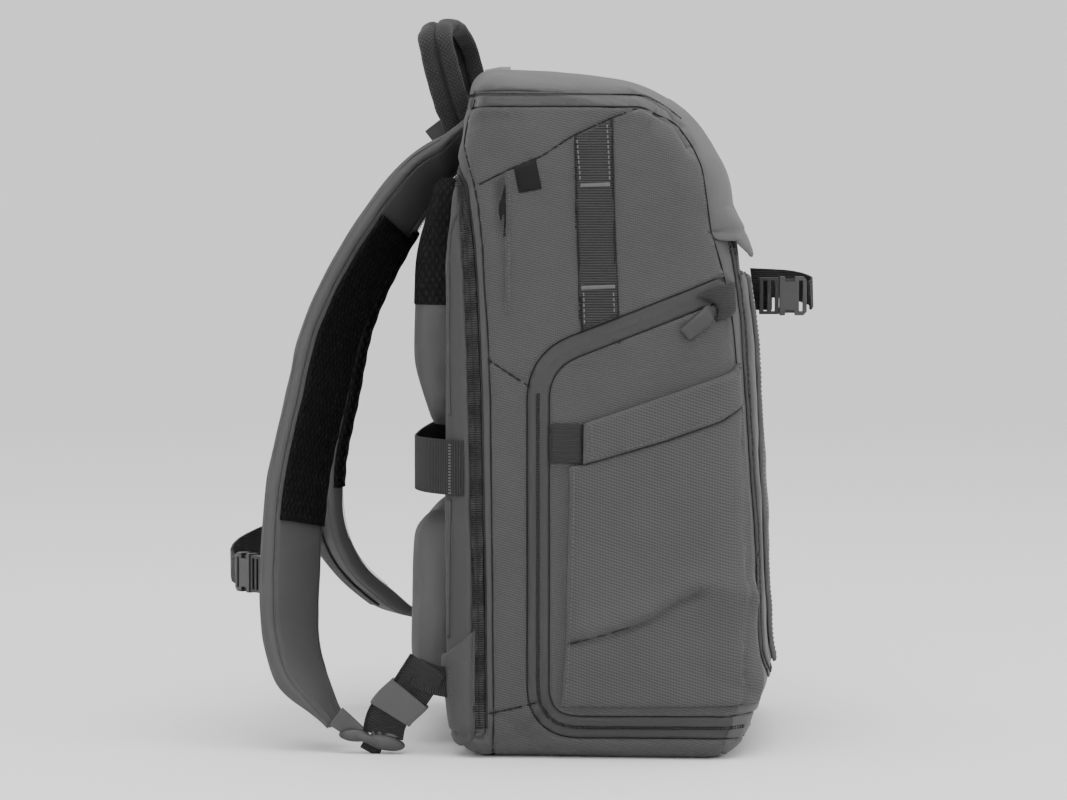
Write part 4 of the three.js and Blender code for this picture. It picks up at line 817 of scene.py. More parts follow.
def lid_polygon():
    return np.vstack([LID_PATH, [[FAR, 0.752 * HEIGHT], [FAR, 700], [-FAR, 700]]])


def back_polygon():
    return np.vstack([BACK_ZIP_PATH, [[-FAR, 0.87 * HEIGHT], [-FAR, 17.0]]])


def door_polygon():
    front = FRONT_SEAM_PATH[(FRONT_SEAM_PATH[:, 1] > 24) & (FRONT_SEAM_PATH[:, 1] < 310)][::-1]
    return np.vstack([DOOR_ZIP_PATH[:-1], front])


def front_polygon():
    return np.vstack([FRONT_SEAM_PATH, [[FAR, -5], [FAR, 350]]])


def gusset_polygon():
    return np.vstack([GUSSET_PATH, [[-FAR, -5], [-FAR, 438]]])


def panel_names():
    middle = BODY_TABLE[BODY_TRIANGLES].mean(axis=1)
    x, y, z = middle[:, 0], middle[:, 1], middle[:, 2]
    names = np.where(y < 0, "side_left", "side_right").astype(object)
    names[inside_by(gusset_polygon(), x, z) > 0] = "gusset"
    names[inside_by(front_polygon(), x, z) > 0] = "front"
    names[(z < 3) & (np.abs(y) < 120) & (names != "front")] = "base"
    door = (inside_by(door_polygon(), x, z) > 0) & (y < -60)
    names[door] = "door"
    names[inside_by(back_polygon(), x, z) > 0] = "back"
    names[inside_by(lid_polygon(), x, z) > 0] = "lid"
    gaps = {index: seam_gap(SEAMS[index], middle) for index in range(3)}
    ahead = inside_by(front_polygon(), x, z) > 0
    names[(gaps[2] < DOOR_ZIP / 2) & ~ahead] = "door_zip"
    names[gaps[1] < BACK_ZIP / 2] = "back_zip"
    in_lid_zip = gaps[0] < LID_ZIP / 2
    names[in_lid_zip & (y < 0)] = "lid_zip_left"
    names[in_lid_zip & (y > 0)] = "lid_zip_right"
    return names


PANELS = {
    "side_left": ("body_side_left", SIDE_CLOTH, "shell_cloth", ["main_body"]),
    "side_right": ("body_side_right", SIDE_CLOTH, "shell_cloth", ["main_body"]),
    "gusset": ("body_gusset", GUSSET_CLOTH, "coated_cloth", ["main_body"]),
    "front": ("body_front", FRONT_CLOTH, "coated_cloth", ["main_body"]),
    "base": ("body_base", GUSSET_CLOTH, "coated_cloth", ["main_body"]),
    "door": ("door_panel", SIDE_CLOTH, "shell_cloth", ["side_door"]),
    "back": ("back_cloth", BACK_CLOTH, "shell_cloth", ["back_panel"]),
    "lid": ("lid_shell", LID_CLOTH, "coated_cloth", ["lid"]),
    "door_zip": ("door_tape", DOOR_TAPE_CLOTH, "zipper_tape", ["side_door_zipper"]),
    "back_zip": ("back_tape", BACK_TAPE_CLOTH, "zipper_tape", ["back_zipper"]),
    "lid_zip_left": ("lid_tape_left", LID_TAPE_CLOTH, "zipper_tape", ["lid_zipper_left"]),
    "lid_zip_right": ("lid_tape_right", LID_TAPE_CLOTH, "zipper_tape", ["lid_zipper_right"]),
}


def add_panels():
    names = panel_names()
    for label, (name, material, slot, nodes) in PANELS.items():
        points, triangles = sub_mesh(BODY_POINTS, BODY_TRIANGLES, names == label)
        piece(make_object(name, points, triangles, material), slot, nodes)


# Cloth laid on the body: cut out of the body's surface by an area that is positive inside, with
# a soft edge, an underside and a rim

def patch_mesh(area, near_box, edge_cuts=(0.8, 2.2)):
    table, triangles = BODY_TABLE, BODY_TRIANGLES
    middle = table[triangles].mean(axis=1)
    low, high = near_box
    chosen = np.all((middle[:, :3] > low) & (middle[:, :3] < high), axis=1)
    table, triangles = sub_mesh(table, triangles, chosen)
    for level in (0.0, *edge_cuts):
        table, triangles = cut(table, triangles, area(table) - level, 0.05)
    middle = table[triangles].mean(axis=1)
    table, triangles = sub_mesh(table, triangles, area(middle) > 0)
    return table, triangles


def rim_faces(triangles, count):
    edges = np.vstack([triangles[:, [0, 1]], triangles[:, [1, 2]], triangles[:, [2, 0]]])
    keys = np.sort(edges, axis=1)
    _, first, uses = np.unique(keys, axis=0, return_index=True, return_counts=True)
    border = edges[first[uses == 1]]
    return [[b, a, a + count, b + count] for a, b in border.tolist()]


def patch(name, area, box, thickness, material, slot, nodes, lift=0.3, folds=(), wave=0.25, rise=None):
    table, triangles = patch_mesh(area, box)
    depth = area(table)
    ground = base_offset(table)
    if rise is None:
        under = ground + lift
    else:
        under = ground + rise(table)
    crown = np.interp(depth, [0, 0.8, 2.2, 4], [0.35, 0.75, 0.97, 1.0])
    swell = fold_offset(folds, table) * np.clip(depth / 6, 0, 1)
    swell += wave * waves(table[:, :3], 30.0, len(name)) * np.clip(depth / 5, 0, 1)
    top = under + thickness * crown + np.maximum(swell, -0.92 * thickness)
    outer = moved(table, top)
    inner = moved(table, under)
    count = len(table)
    faces = triangles.tolist() + (triangles[:, ::-1] + count).tolist() + rim_faces(triangles, count)
    thing = make_object(name, np.vstack([outer, inner]), faces, material)
    piece(thing, slot, nodes)
    return thing, tree_of(outer, triangles)


def side_area(polygon, side, limit=-60.0):
    return lambda table: np.minimum(inside_by(polygon, table[:, 0], table[:, 2]), side * table[:, 1] + limit)


def front_area(polygon, from_x=20.0):
    return lambda table: np.minimum(inside_by(polygon, table[:, 1], table[:, 2]), table[:, 0] - from_x)


# A strip on the side, below the diagonal seam and above the door's zipper
def strip_area(polygon, side):
    below = np.vstack([DIAGONAL_PATH, [[FAR, DIAGONAL_PATH[-1][1]], [FAR, -50], [-FAR, -50],
                                       [-FAR, DIAGONAL_PATH[0][1]]]])
    whole = side_area(polygon, side)

    def area(table):
        x, z = table[:, 0], table[:, 2]
        low = distance_to(DOOR_ZIP_PATH, x, z) - DOOR_ZIP / 2 - 0.3
        return np.minimum(np.minimum(whole(table), inside_by(below, x, z) - 0.8), low)

    return area


def side_box(side):
    if side < 0:
        return np.array([-200, -200, -10]), np.array([200, -40, 500])
    return np.array([-200, 40, -10]), np.array([200, 200, 500])


FRONT_BOX = (np.array([20, -160, 10]), np.array([200, 160, 460]))


def front_u(half_width, low, top, corner):
    points = []
    for side in (-1, 1):
        half = [[side * half_width, top]]
        for degrees in range(0, 91, 10):
            angle = math.radians(degrees)
            half.append([
                side * (half_width - corner * (1 - math.cos(angle))),
                low + corner * (1 - math.sin(angle)),
            ])
        points += half if side < 0 else half[::-1]
    return np.array(points)


def add_front():
    low = 0.113 * HEIGHT
    top = 0.698 * HEIGHT
    path = front_u(FRONT_POCKET_WIDTH / 2, low, 0.75 * HEIGHT, FRONT_CORNER)

    def zip_area(table):
        return np.minimum(
            FRONT_ZIP / 2 - distance_to(path, table[:, 1], table[:, 2]),
            table[:, 0] - 20,
        )

    _, tree = patch("front_tape", zip_area, FRONT_BOX, 1.6, TAPE_CLOTH, "zipper_tape", ["front_zipper"],
                    wave=0)
    coil_along("front_coil", forward_points(path, tree, 1.2), 1.3)
    inset = FRONT_ZIP / 2 + GAP
    pocket = front_u(FRONT_POCKET_WIDTH / 2 - inset, low + inset, top, FRONT_CORNER - inset)
    patch("front_pouch", front_area(pocket), FRONT_BOX, 3.0, FRONT_CLOTH, "coated_cloth", ["front_pocket"])
    half = FRONT_FLAP_WIDTH / 2
    flap = np.array([[-half, low + 4.1], [half, low + 4.1], [half, top - 2], [-half, top - 2]])
    thing, tree = patch(
        "front_cover", front_area(flap), FRONT_BOX, 3.4, FRONT_CLOTH, "coated_cloth", ["front_flap"],
        lift=3.6,
    )
    for side in (-1, 1):
        edge = np.array([[side * (half - 4), low + 9], [side * (half - 4), top - 8]])
        stitches(f"cover_stitches_{'left' if side < 0 else 'right'}", forward_points(edge, tree, 3.2),
                 0.5, 2.0)


def hood_area(table):
    return inside_by(spots(HOOD_OUTLINE), table[:, 0], table[:, 2])


def add_hood():
    low = 0.705 * HEIGHT
    high = 0.8 * HEIGHT

    seam = LID_SEAM_PATH[:4]

    def rise(table):
        down = np.clip((high - table[:, 2]) / (high - low), 0, 1)
        ahead = np.clip(distance_to(seam, table[:, 0], table[:, 2]) / 12, 0, 1)
        shown = np.minimum(np.clip(down * 3, 0, 1), ahead)
        return 3.8 * shown - 3.4 + 10.0 * ahead * down ** 1.3

    box = (np.array([40, -170, 300]), np.array([200, 170, 420]))
    patch("hood_cloth", hood_area, box, 3.0, LID_CLOTH, "coated_cloth", ["hood"], rise=rise, wave=0.5)


def add_sides():
    hem = np.vstack([spots(HEM_LOW_LINE), spots(HEM_TOP_LINE)[::-1]])
    pocket_top = offset_line(spots(HEM_LOW_LINE), -GAP)
    back = spots(POCKET_BACK_LINE)
    pocket = np.vstack([back, [[pocket_top[-1][0], back[-1][1]]], pocket_top[::-1]])
    strip_line = spots([[-0.027, 0.945]] + SIDE_WEBBING_LINE[1:] + [[0.0, 0.6]])
    strip = band_outline(strip_line, SIDE_WEBBING)
    wing = spots(WING_OUTLINE)
    for side, word in ((-1, "left"), (1, "right")):
        box = side_box(side)
        folds = POCKET_FOLDS
        _, tree = patch(f"stretch_pocket_{word}", side_area(pocket, side, -POCKET_FRONT_Y), box, 3.4,
                        POCKET_CLOTH, "shell_cloth", [f"side_pocket_{word}"], folds=folds, wave=0.4)
        # A dark cord laid along the pocket's crease as a painted shade line in the fold
        fold_shade_line = near([(568, 643), (604, 633), (630, 625)])
        seam_thread(f"pocket_crease_{word}", drape(fold_shade_line, tree, side, 2.0), 0.4)
        edge = near([(575, 466), (575, 500), (573, 593), (571, 641), (567, 700)])
        stitches(f"pocket_stitches_{word}", drape(edge, tree, side, 3.0), 0.45, 1.7)
        _, tree = patch(f"pocket_band_{word}", side_area(hem, side, -POCKET_FRONT_Y), box, 5.2, POCKET_CLOTH,
                        "webbing", [f"pocket_hem_{word}"])
        low = offset_line(near([(586, 462), (666, 438), (718, 420)]), 1.8)
        stitches(f"band_low_stitches_{word}", drape(low, tree, side, 3.0), 0.4, 1.6)
        end = near([(593, 424), (593, 459)])
        stitches(f"band_end_stitches_{word}", drape(end, tree, side, 3.0), 0.45, 1.7)
        _, tree = patch(f"side_strip_{word}", strip_area(strip, side), box, 1.6, DARK_WEBBING, "webbing",
                        [f"side_webbing_{word}"], wave=0)
        for number, place in enumerate((-1, 1)):
            selvedge = band_outline(offset_line(strip_line, place * (SIDE_WEBBING / 2 - 1.2)), 2.6)
            patch(f"strip_edge_{word}_{number}", strip_area(selvedge, side), box, 1.9, SELVEDGE,
                  "webbing", [],
                  wave=0)
        for number, line in enumerate(STRIP_STITCHES):
            stitches(f"strip_stitches_{word}_{number}", drape(near(line), tree, side, 3.4), 0.5, 2.4,
                     LIGHT_THREAD)
        for number, line in enumerate(BAR_TACKS):
            bar_tack(f"bar_tack_{word}_{number}", drape(near(line), tree, side, 0.9))
        _, tree = patch(f"wing_cloth_{word}", side_area(wing, side, -114.0), box, 3.0, GUSSET_CLOTH,
                        "coated_cloth", [f"wing_{word}"])
        for number, line in enumerate(WING_STITCHES):
            stitches(f"wing_stitches_{word}_{number}", drape(near(line), tree, side, 2.8), 0.45, 1.7)


STRIP_STITCHES = [
    [(577.7, 141), (579.5, 160), (581, 182)], [(607.3, 126), (609, 155), (610.2, 182)],
    [(584.4, 292), (585.5, 330)], [(614, 292), (615.3, 318)],
]
BAR_TACKS = [[(582, 186), (611, 185)], [(583, 287.5), (616, 286)]]
WING_STITCHES = [[(449, 672), (453, 715)], [(444, 668), (470, 662)]]


def add_left_details():
    box = side_box(-1)
    top = spots(HEM_TOP_LINE)[0]
    low = spots(HEM_LOW_LINE)[0]
    right = min(top[0], low[0]) - GAP
    tab = np.array([[right - 22, low[1] + 0.6], [right, low[1] + 0.6], [right, top[1]], [right - 22, top[1]]])
    patch("pocket_loop", side_area(tab, -1), box, 2.4, TAB_WEBBING, "webbing", ["pocket_tab"], wave=0)
    slot = band_outline(spots(SLOT_FLAP_LINE), 4.4)
    slot_left = slot[:, 0].min()

    def sunk(table):
        return np.interp(table[:, 0], [slot_left, slot_left + 1.5, slot_left + 4.4], [0.5, 0.1, -1.9])

    _, tree = patch("slot_edge", side_area(slot, -1), box, 1.8, SIDE_CLOTH, "shell_cloth", ["slot_flap"],
                    rise=sunk, wave=0)
    # A near-black sheet laid left of the slot's flap as painted shade in the valley there
    gap = near([(507, 182), (507.4, 238), (503, 232), (498.5, 212), (499.5, 195)])
    patch("slot_shade", side_area(gap, -1), box, 0.5, SLOT_SHADE_PAINT, "shell_cloth", [], lift=0.1, wave=0)
    line = near([(510, 176), (510, 312)])
    stitches("slot_stitches", drape(line, tree, -1, 3.0), 0.4, 1.6)
    label = spots(LABEL_OUTLINE)
    patch("bare_label", side_area(label, -1), box, 1.2, LABEL_CLOTH, "label_cloth", ["side_label"], wave=0)
    garage = near([(694, 297), (708, 289), (731, 283), (733, 312), (727, 318), (713, 322), (716, 312),
                   (713, 304),
                   (705, 299)])
    patch("zip_end_loop", side_area(garage, -1), box, 2.4, TAB_WEBBING, "shell_cloth", ["zip_garage"],
          rise=lambda table: 1.4 - base_offset(table))
    cover = near([(463, 731), (493, 729), (492, 756), (475, 755), (465, 748)])
    patch("zip_cover", side_area(cover, -1), box, 1.2, GUSSET_CLOTH, "coated_cloth", [], wave=0)
    pull = near([(679, 329), (706, 304), (712, 321), (688, 341)])
    patch("door_tab", side_area(pull, -1), box, 2.2, PULL_RUBBER, "rubber_pull", ["side_door_pull"],
          rise=lambda table: 2.0 - base_offset(table))


# Lines drawn in the side view and laid on the surface of a piece

def drape(line, tree, side, step, lift=0.0):
    points = []
    for x, z in resample(line, step):
        hit = tree.ray_cast(Vector((x, side * 300, z)), Vector((0, -side, 0)))
        if hit[0] is not None:
            normal = hit[1] if hit[1].y * side > 0 else -hit[1]
            points.append((np.array(hit[0]) + lift * np.array(normal), np.array(normal)))
    return settled(points)


# Evens out a laid line: each place and direction is the mean of its neighbours'
def settled(points):
    if len(points) < 5:
        return points
    places = np.array([p for p, _ in points])
    normals = np.array([n for _, n in points])
    even = places.copy()
    for index in range(2, len(points) - 2):
        even[index] = places[index - 2:index + 3].mean(axis=0)
    turned = normals.copy()
    for index in range(len(points)):
        turned[index] = normals[max(index - 2, 0):index + 3].mean(axis=0)
    turned /= np.linalg.norm(turned, axis=1, keepdims=True)
    return list(zip(even, turned))


def forward_points(line, tree, step, lift=0.0):
    points = []
    for y, z in resample(line, step):
        hit = tree.ray_cast(Vector((400, y, z)), Vector((-1, 0, 0)))
        if hit[0] is not None:
            normal = hit[1] if hit[1].x > 0 else -hit[1]
            points.append((np.array(hit[0]) + lift * np.array(normal), np.array(normal)))
    return points


# One small closed form: a rod with rounded ends between two points
def rod(start, end, up, radius, flat=1.0, sides=6):
    run = end - start
    length = np.linalg.norm(run)
    run = run / max(length, 1e-9)
    across = np.cross(run, up)
    across /= max(np.linalg.norm(across), 1e-9)
    out = np.cross(across, run)
    rings = []
    for share, size in ((0.0, 0.35), (0.15, 0.9), (0.5, 1.0), (0.85, 0.9), (1.0, 0.35)):
        middle = start + run * length * share
        for corner in range(sides):
            angle = 2 * math.pi * corner / sides
            rings.append(middle + across * radius * size * math.cos(angle)
                         + out * radius * flat * size * math.sin(angle))
    faces = []
    for ring in range(4):
        for corner in range(sides):
            a = ring * sides + corner
            b = ring * sides + (corner + 1) % sides
            faces.append([a, b, b + sides, a + sides])
    faces.append(list(range(sides))[::-1])
    faces.append([4 * sides + corner for corner in range(sides)])
    return rings, faces


def gather(forms):
    points = []
    faces = []
    for rings, ring_faces in forms:
        start = len(points)
        points += [list(p) for p in rings]
        faces += [[start + corner for corner in face] for face in ring_faces]
    return points, faces


# A run of stitches: places come one step apart, and each stitch starts at one of them
def stitches(name, places, radius, length, thread=None):
    forms = []
    for (here, normal), (there, _) in zip(places[:-1], places[1:]):
        run = there - here
        gap = np.linalg.norm(run)
        if gap < 1e-6 or gap > 12:
            continue
        end = here + run / gap * min(length, gap * 0.85)
        forms.append(rod(here + normal * radius * 0.25, end + normal * radius * 0.25, normal, radius, 0.8))
    if not forms:
        return
    points, faces = gather(forms)
    piece(make_object(name, points, faces, thread or GREY_THREAD), "webbing")


def bar_tack(name, places):
    forms = []
    for (here, normal), (there, _) in zip(places[:-1], places[1:]):
        run = there - here
        run = run / max(np.linalg.norm(run), 1e-9)
        across = np.cross(normal, run)
        forms.append(rod(here - across * 1.3, here + across * 1.3, normal, 0.55, 0.9))
    points, faces = gather(forms)
    piece(make_object(name, points, faces, LIGHT_THREAD), "webbing")


# A zipper's coil: teeth across the line, one by one
# Two rows of short rods across a line, as a zipper's teeth
def coil_along(name, places, half, material=COIL_CLOTH):
    forms = []
    for index in range(len(places) - 1):
        here, normal = places[index]
        run = places[index + 1][0] - here
        gap = np.linalg.norm(run)
        if gap < 1e-6 or gap > 8:
            continue
        across = np.cross(normal, run / gap)
        lift = normal * 0.35
        forms.append(rod(here - across * half + lift, here - across * 0.15 + lift, normal, gap * 0.36,
                         0.9, 5))
        forms.append(rod(here + across * 0.15 + lift, here + across * half + lift, normal, gap * 0.36,
                         0.9, 5))
    points, faces = gather(forms)
    piece(make_object(name, points, faces, material), "zipper_tape")


# A thin cord of thread sunk into a seam
def seam_thread(name, places, radius=0.55, material=DARK_THREAD):
    if len(places) < 2:
        return
    frames = []
    for index, (here, normal) in enumerate(places):
        before = places[max(index - 1, 0)][0]
        after = places[min(index + 1, len(places) - 1)][0]
        run = after - before
        run = run / max(np.linalg.norm(run), 1e-9)
        across = np.cross(run, normal)
        frames.append((here, across, normal))
    rings = []
    sides = 6
    for here, across, normal in frames:
        for corner in range(sides):
            angle = 2 * math.pi * corner / sides
            rings.append(here + radius * (across * math.cos(angle) + normal * math.sin(angle)))
    piece(make_object(name, rings, tube_faces(len(frames), sides), material), "webbing")


# Piping along the back corner, above and below the trolley strap
PIPING_LINES = [
    [(456, 215), (451, 228), (449, 250), (448.5, 330), (449.5, 400), (450, 416)],
    [(450, 500), (449, 560), (448, 640)],
]


# The lower edge of the lid's zipper band, which runs into the seam at the front
def lid_band_low():
    line = resample(LID_ZIP_PATH, 2.0)
    share = lid_taper(line[:, 0])[:, None]
    low = offset_line(line, -LID_ZIP / 2) * (1 - share) + line * share
    return np.vstack([low, LID_SEAM_PATH[1:4]])


def add_seam_threads():
    plain = {"gusset": GUSSET_PATH, "diagonal": DIAGONAL_PATH, "lower_back": LOWER_BACK_PATH,
             "foot": BASE_PATH}
    door = DOOR_ZIP_PATH
    edges = {
        "door_outer": offset_line(door, -DOOR_ZIP / 2),
        "door_inner": offset_line(door, DOOR_ZIP / 2),
        "lid_low": lid_band_low(),
    }
    for side, word in ((-1, "left"), (1, "right")):
        for name, line in plain.items():
            seam_thread(f"{name}_thread_{word}", drape(line, BODY_TREE, side, 2.0, 0.1))
        seam_thread(f"front_thread_{word}", drape(FRONT_SEAM_PATH[:6], BODY_TREE, side, 2.0, 0.1))
        seam_thread(f"lid_thread_{word}", drape(edges["lid_low"], BODY_TREE, side, 2.0, 0.2))
        coil_along(f"back_coil_{word}", drape(BACK_ZIP_PATH[:-1], BODY_TREE, side, 1.5), 4.3, TOOTH_CLOTH)
        seam_thread(f"back_inner_thread_{word}",
                    drape(offset_line(BACK_ZIP_PATH[:-1], -5.4), BODY_TREE, side, 2.0,
                                                       -0.15), 0.4)
        for number, line in enumerate(PIPING_LINES):
            seam_thread(f"back_piping_{word}_{number}", drape(near(line), BODY_TREE, side, 3.0, 0.4), 1.5,
                        GUSSET_CLOTH)
        coil = offset_line(LID_ZIP_PATH, 2.6)
        coil_along(f"lid_coil_{word}", drape(coil[:-1], BODY_TREE, side, 1.3), 0.9)
    seam_thread("door_outer_thread", drape(edges["door_outer"], BODY_TREE, -1, 2.0, 0.2))
    seam_thread("door_inner_thread", drape(edges["door_inner"], BODY_TREE, -1, 2.0, 0.2))
    lower = DOOR_ZIP_PATH[len(DOOR_ZIP_PATH) // 2 - 2:]
    coil_along("door_coil", drape(lower, BODY_TREE, -1, 1.6), 1.2)


# Curves and bands

# The same curve that the model's own bands follow: centripetal, at even steps along its length
def curve_points(points, samples=240):
    points = np.asarray(points, dtype=float)
    first = 2 * points[0] - points[1]
    last = 2 * points[-1] - points[-2]
    knots = np.vstack([first, points, last])
    dense = []
    per = max(8, samples // (len(points) - 1))
    for i in range(1, len(knots) - 2):
        p0, p1, p2, p3 = knots[i - 1:i + 3]
        t1 = np.linalg.norm(p1 - p0) ** 0.5
        t2 = t1 + np.linalg.norm(p2 - p1) ** 0.5
        t3 = t2 + np.linalg.norm(p3 - p2) ** 0.5
        for step in range(per):
            t = t1 + (t2 - t1) * step / per
            a1 = (t1 - t) / t1 * p0 + t / t1 * p1
            a2 = (t2 - t) / (t2 - t1) * p1 + (t - t1) / (t2 - t1) * p2
            a3 = (t3 - t) / (t3 - t2) * p2 + (t - t2) / (t3 - t2) * p3
            b1 = (t2 - t) / t2 * a1 + t / t2 * a2
            b2 = (t3 - t) / (t3 - t1) * a2 + (t - t1) / (t3 - t1) * a3
            dense.append((t2 - t) / (t2 - t1) * b1 + (t - t1) / (t2 - t1) * b2)
    dense.append(points[-1])
    return np.array(dense)


# Places along a curve: middle, width direction, outward direction, share and length so far
def frames_along(points, across_at, steps, start=0.0, end=1.0):
    dense = curve_points(points)
    gaps = np.linalg.norm(np.diff(dense, axis=0), axis=1)
    along = np.concatenate([[0], np.cumsum(gaps)])
    shares = np.linspace(start, end, steps + 1)
    frames = []
    for share in shares:
        at = share * along[-1]
        middle = np.array([np.interp(at, along, dense[:, axis]) for axis in range(3)])
        small = 0.004 * along[-1]
        ahead = np.array([np.interp(min(at + small, along[-1]), along, dense[:, axis]) for axis in range(3)])
        behind = np.array([np.interp(max(at - small, 0), along, dense[:, axis]) for axis in range(3)])
        tangent = (ahead - behind) / np.linalg.norm(ahead - behind)
        across = np.array(across_at(share), dtype=float)
        across -= tangent * np.dot(across, tangent)
        across /= np.linalg.norm(across)
        frames.append((middle, across, np.cross(across, tangent), share, at))
    return frames


# A closed form through sections; section(share) gives [across, out] pairs in millimetres
def loft(name, frames, section, material):
    points = []
    uv = []
    count = None
    for middle, across, out, share, at in frames:
        ring = section(share)
        count = len(ring)
        girth = 0.0
        for index, (a, t) in enumerate(ring):
            points.append(middle + across * a + out * t)
            if index:
                girth += math.hypot(a - ring[index - 1][0], t - ring[index - 1][1])
            uv.append([girth, at])
    faces = side_faces(len(frames), count)
    for start in (0, (len(frames) - 1) * count):
        middle = np.mean(points[start:start + count], axis=0)
        points.append(middle)
        uv.append([0, 0])
        centre = len(points) - 1
        for corner in range(count):
            faces.append([start + corner, start + (corner + 1) % count, centre])
    thing = make_object(name, points, faces, material, uv=uv)
    mend_normals(thing)
    return thing


def mend_normals(thing):
    bm = bmesh.new()
    bm.from_mesh(thing.data)
    bmesh.ops.recalc_face_normals(bm, faces=bm.faces)
    bm.to_mesh(thing.data)
    bm.free()


def band_section(width, thickness, bulge=0.0):
    half = width / 2
    t = thickness / 2
    edge = min(0.45 * thickness, 0.8)
    upper = [[-half, 0], [-half + edge * 0.4, t * 0.8], [-half + edge, t]]
    inner = [[half * k, t + bulge * (1 - k * k)] for k in (-0.8, -0.4, 0, 0.4, 0.8)]
    right = [[half - edge, t], [half - edge * 0.4, t * 0.8], [half, 0]]
    top = upper + inner + right
    low = [[a, -b] for a, b in top[1:-1]][::-1]
    return top + low


def ribbon(name, frames, width, thickness, material, slot, nodes=()):
    return piece(loft(name, frames, lambda share: band_section(width, thickness), material), slot, nodes)


# Shoulder straps

def strap_points(line, side):
    return [[BACK_X - p["out"] * STRAP_REACH, side * p["side"] * WIDTH / 2,
             p["height"] * HEIGHT] for p in line]


def strap_across(side):
    twist = math.radians(STRAP_TWIST)
    return lambda share: (-math.sin(twist), side * math.cos(twist), 0)


def smooth_step(value, low, high):
    t = min(max((value - low) / (high - low), 0), 1)
    return t * t * (3 - 2 * t)


def strap_width(share):
    return STRAP_WIDTH * (1 - 0.1 * (1 - smooth_step(share, 0, 0.25)) - 0.22 * smooth_step(share, 0.72, 1))


def strap_thickness(share):
    return STRAP_THICKNESS * (1 - 0.35 * smooth_step(share, 0.9, 1))


# out points to the wearer's side on the left strap and away from it on the right one
def strap_frames(line, side, steps, start=0.0, end=1.0):
    frames = frames_along(strap_points(line, side), strap_across(side), steps, start, end)
    if side < 0:
        return frames
    return [(middle, across, -out, share, at) for middle, across, out, share, at in frames]


# A padded section: a bulging edge, a sewn groove beside it on both faces and a crowned middle
def strap_face(across, share):
    groove = math.exp(-(((abs(across) - 0.83) / 0.035) ** 2)) * 1.6
    return strap_thickness(share) / 2 * end_pinch(share) - 0.9 + 0.9 * (1 - across * across) - groove


# How much of its size is left towards the two sewn ends
def end_pinch(share):
    return 1 - 0.5 * smooth_step(share, 0.93, 1) - 0.35 * (1 - smooth_step(share, 0, 0.04))


# narrowed says how far the end of the strap is drawn together, from 0 to 1
def strap_section(share, narrowed):
    half_width = strap_width(share) / 2 * (1 - 0.42 * narrowed * smooth_step(share, 0.9, 1))
    gather_depth = 0.8 * narrowed * smooth_step(share, 0.93, 1)
    section = []
    for number in range(72):
        angle = 2 * math.pi * number / 72
        c, s = math.cos(angle), math.sin(angle)
        across = math.copysign(abs(c) ** 0.42, c)
        thick = math.copysign(abs(s) ** 0.5, s)
        face = strap_face(across, share) + gather_depth * math.sin(across * 14)
        section.append([across * half_width, thick * face])
    return section


# The strap's first frames go on into the body, where its end is sewn in
def rooted(frames, reach):
    middle, across, out, share, _ = frames[0]
    back = middle - frames[1][0]
    back = back / np.linalg.norm(back)
    steps = [(middle + back * reach * k / 4, across, out, share, -reach * k / 4) for k in (4, 3, 2, 1)]
    return steps + frames


def add_strap(side, line, word):
    frames = rooted(strap_frames(line, side, 150), 13.0)
    narrowed = 1.0 if side < 0 else 0.2
    strap = loft(f"padded_strap_{word}", frames, lambda share: strap_section(share, narrowed), PAD_CLOTH)
    ripple(strap, 0.28, 30.0, 11)
    piece(strap, "shell_cloth", [f"shoulder_strap_{word}"])
    mesh_frames = strap_frames(line, side, 60, 4.0 / STRAP_STEPS, 16 / STRAP_STEPS)

    def mesh_section(share):
        half = strap_width(share) / 2
        puff = 0.5 * math.sin(share * 150)
        face = strap_face(0.0, share)
        edge = [[-1.02 * half, -0.45 * face], [-1.055 * half, 0.0], [-1.03 * half, 0.5 * face]]
        top = []
        for across in np.linspace(-0.94, 0.77, 20):
            level = strap_face(across * 0.8, share) + 1.7
            top.append([across * half, level - 1.4 * smooth_step(-across, 0.84, 0.94) + 0.6 * puff])
        low = [[across * half, strap_face(0.6, share) - 3.0] for across in np.linspace(0.74, -0.9, 8)]
        return edge + top + low

    piece(loft(f"strap_lining_{word}", mesh_frames, mesh_section, MESH_CLOTH), "spacer_mesh",
          [f"strap_mesh_{word}"])
    rail_frames = strap_frames(line, side, 70, 3 / STRAP_STEPS, 22 / STRAP_STEPS)

    def rail_section(share):
        away = -strap_thickness(share) / 2 - 0.9
        return [[a, away + t] for a, t in band_section(NARROW_WEBBING, WEBBING)]

    piece(loft(f"strap_webbing_{word}", rail_frames, rail_section, STRAP_WEBBING), "webbing",
          [f"strap_rail_{word}"])
    for number, place in enumerate((-0.86, 0.86)):
        places = []
        for middle, across, out, share, _ in strap_frames(line, side, 170, 0.03, 0.9):
            at = middle + across * place * strap_width(share) / 2
            places.append((at + out * (strap_face(place, share) + 0.1), out))
        stitches(f"strap_stitches_{word}_{number}", places, 0.4, 2.2)
    edge_places = []
    for middle, across, out, share, _ in strap_frames(line, side, 130, 0.02, 0.9):
        edge_places.append((middle + across * (strap_width(share) / 2 - 0.2) - out * 1.5, across))
    seam_thread(f"strap_piping_{word}", edge_places, 0.7, GREY_THREAD)


def ripple(thing, depth, size, seed):
    mesh = thing.data
    points = np.zeros(len(mesh.vertices) * 3)
    mesh.vertices.foreach_get("co", points)
    points = points.reshape(-1, 3)
    normals = np.zeros(len(mesh.vertices) * 3)
    mesh.vertices.foreach_get("normal", normals)
    points = points + normals.reshape(-1, 3) * (depth * MM * waves(points / MM, size, seed))[:, None]
    mesh.vertices.foreach_set("co", points.ravel())
    mesh.update()


# Grab handle with two padded lobes and a sewn groove between them

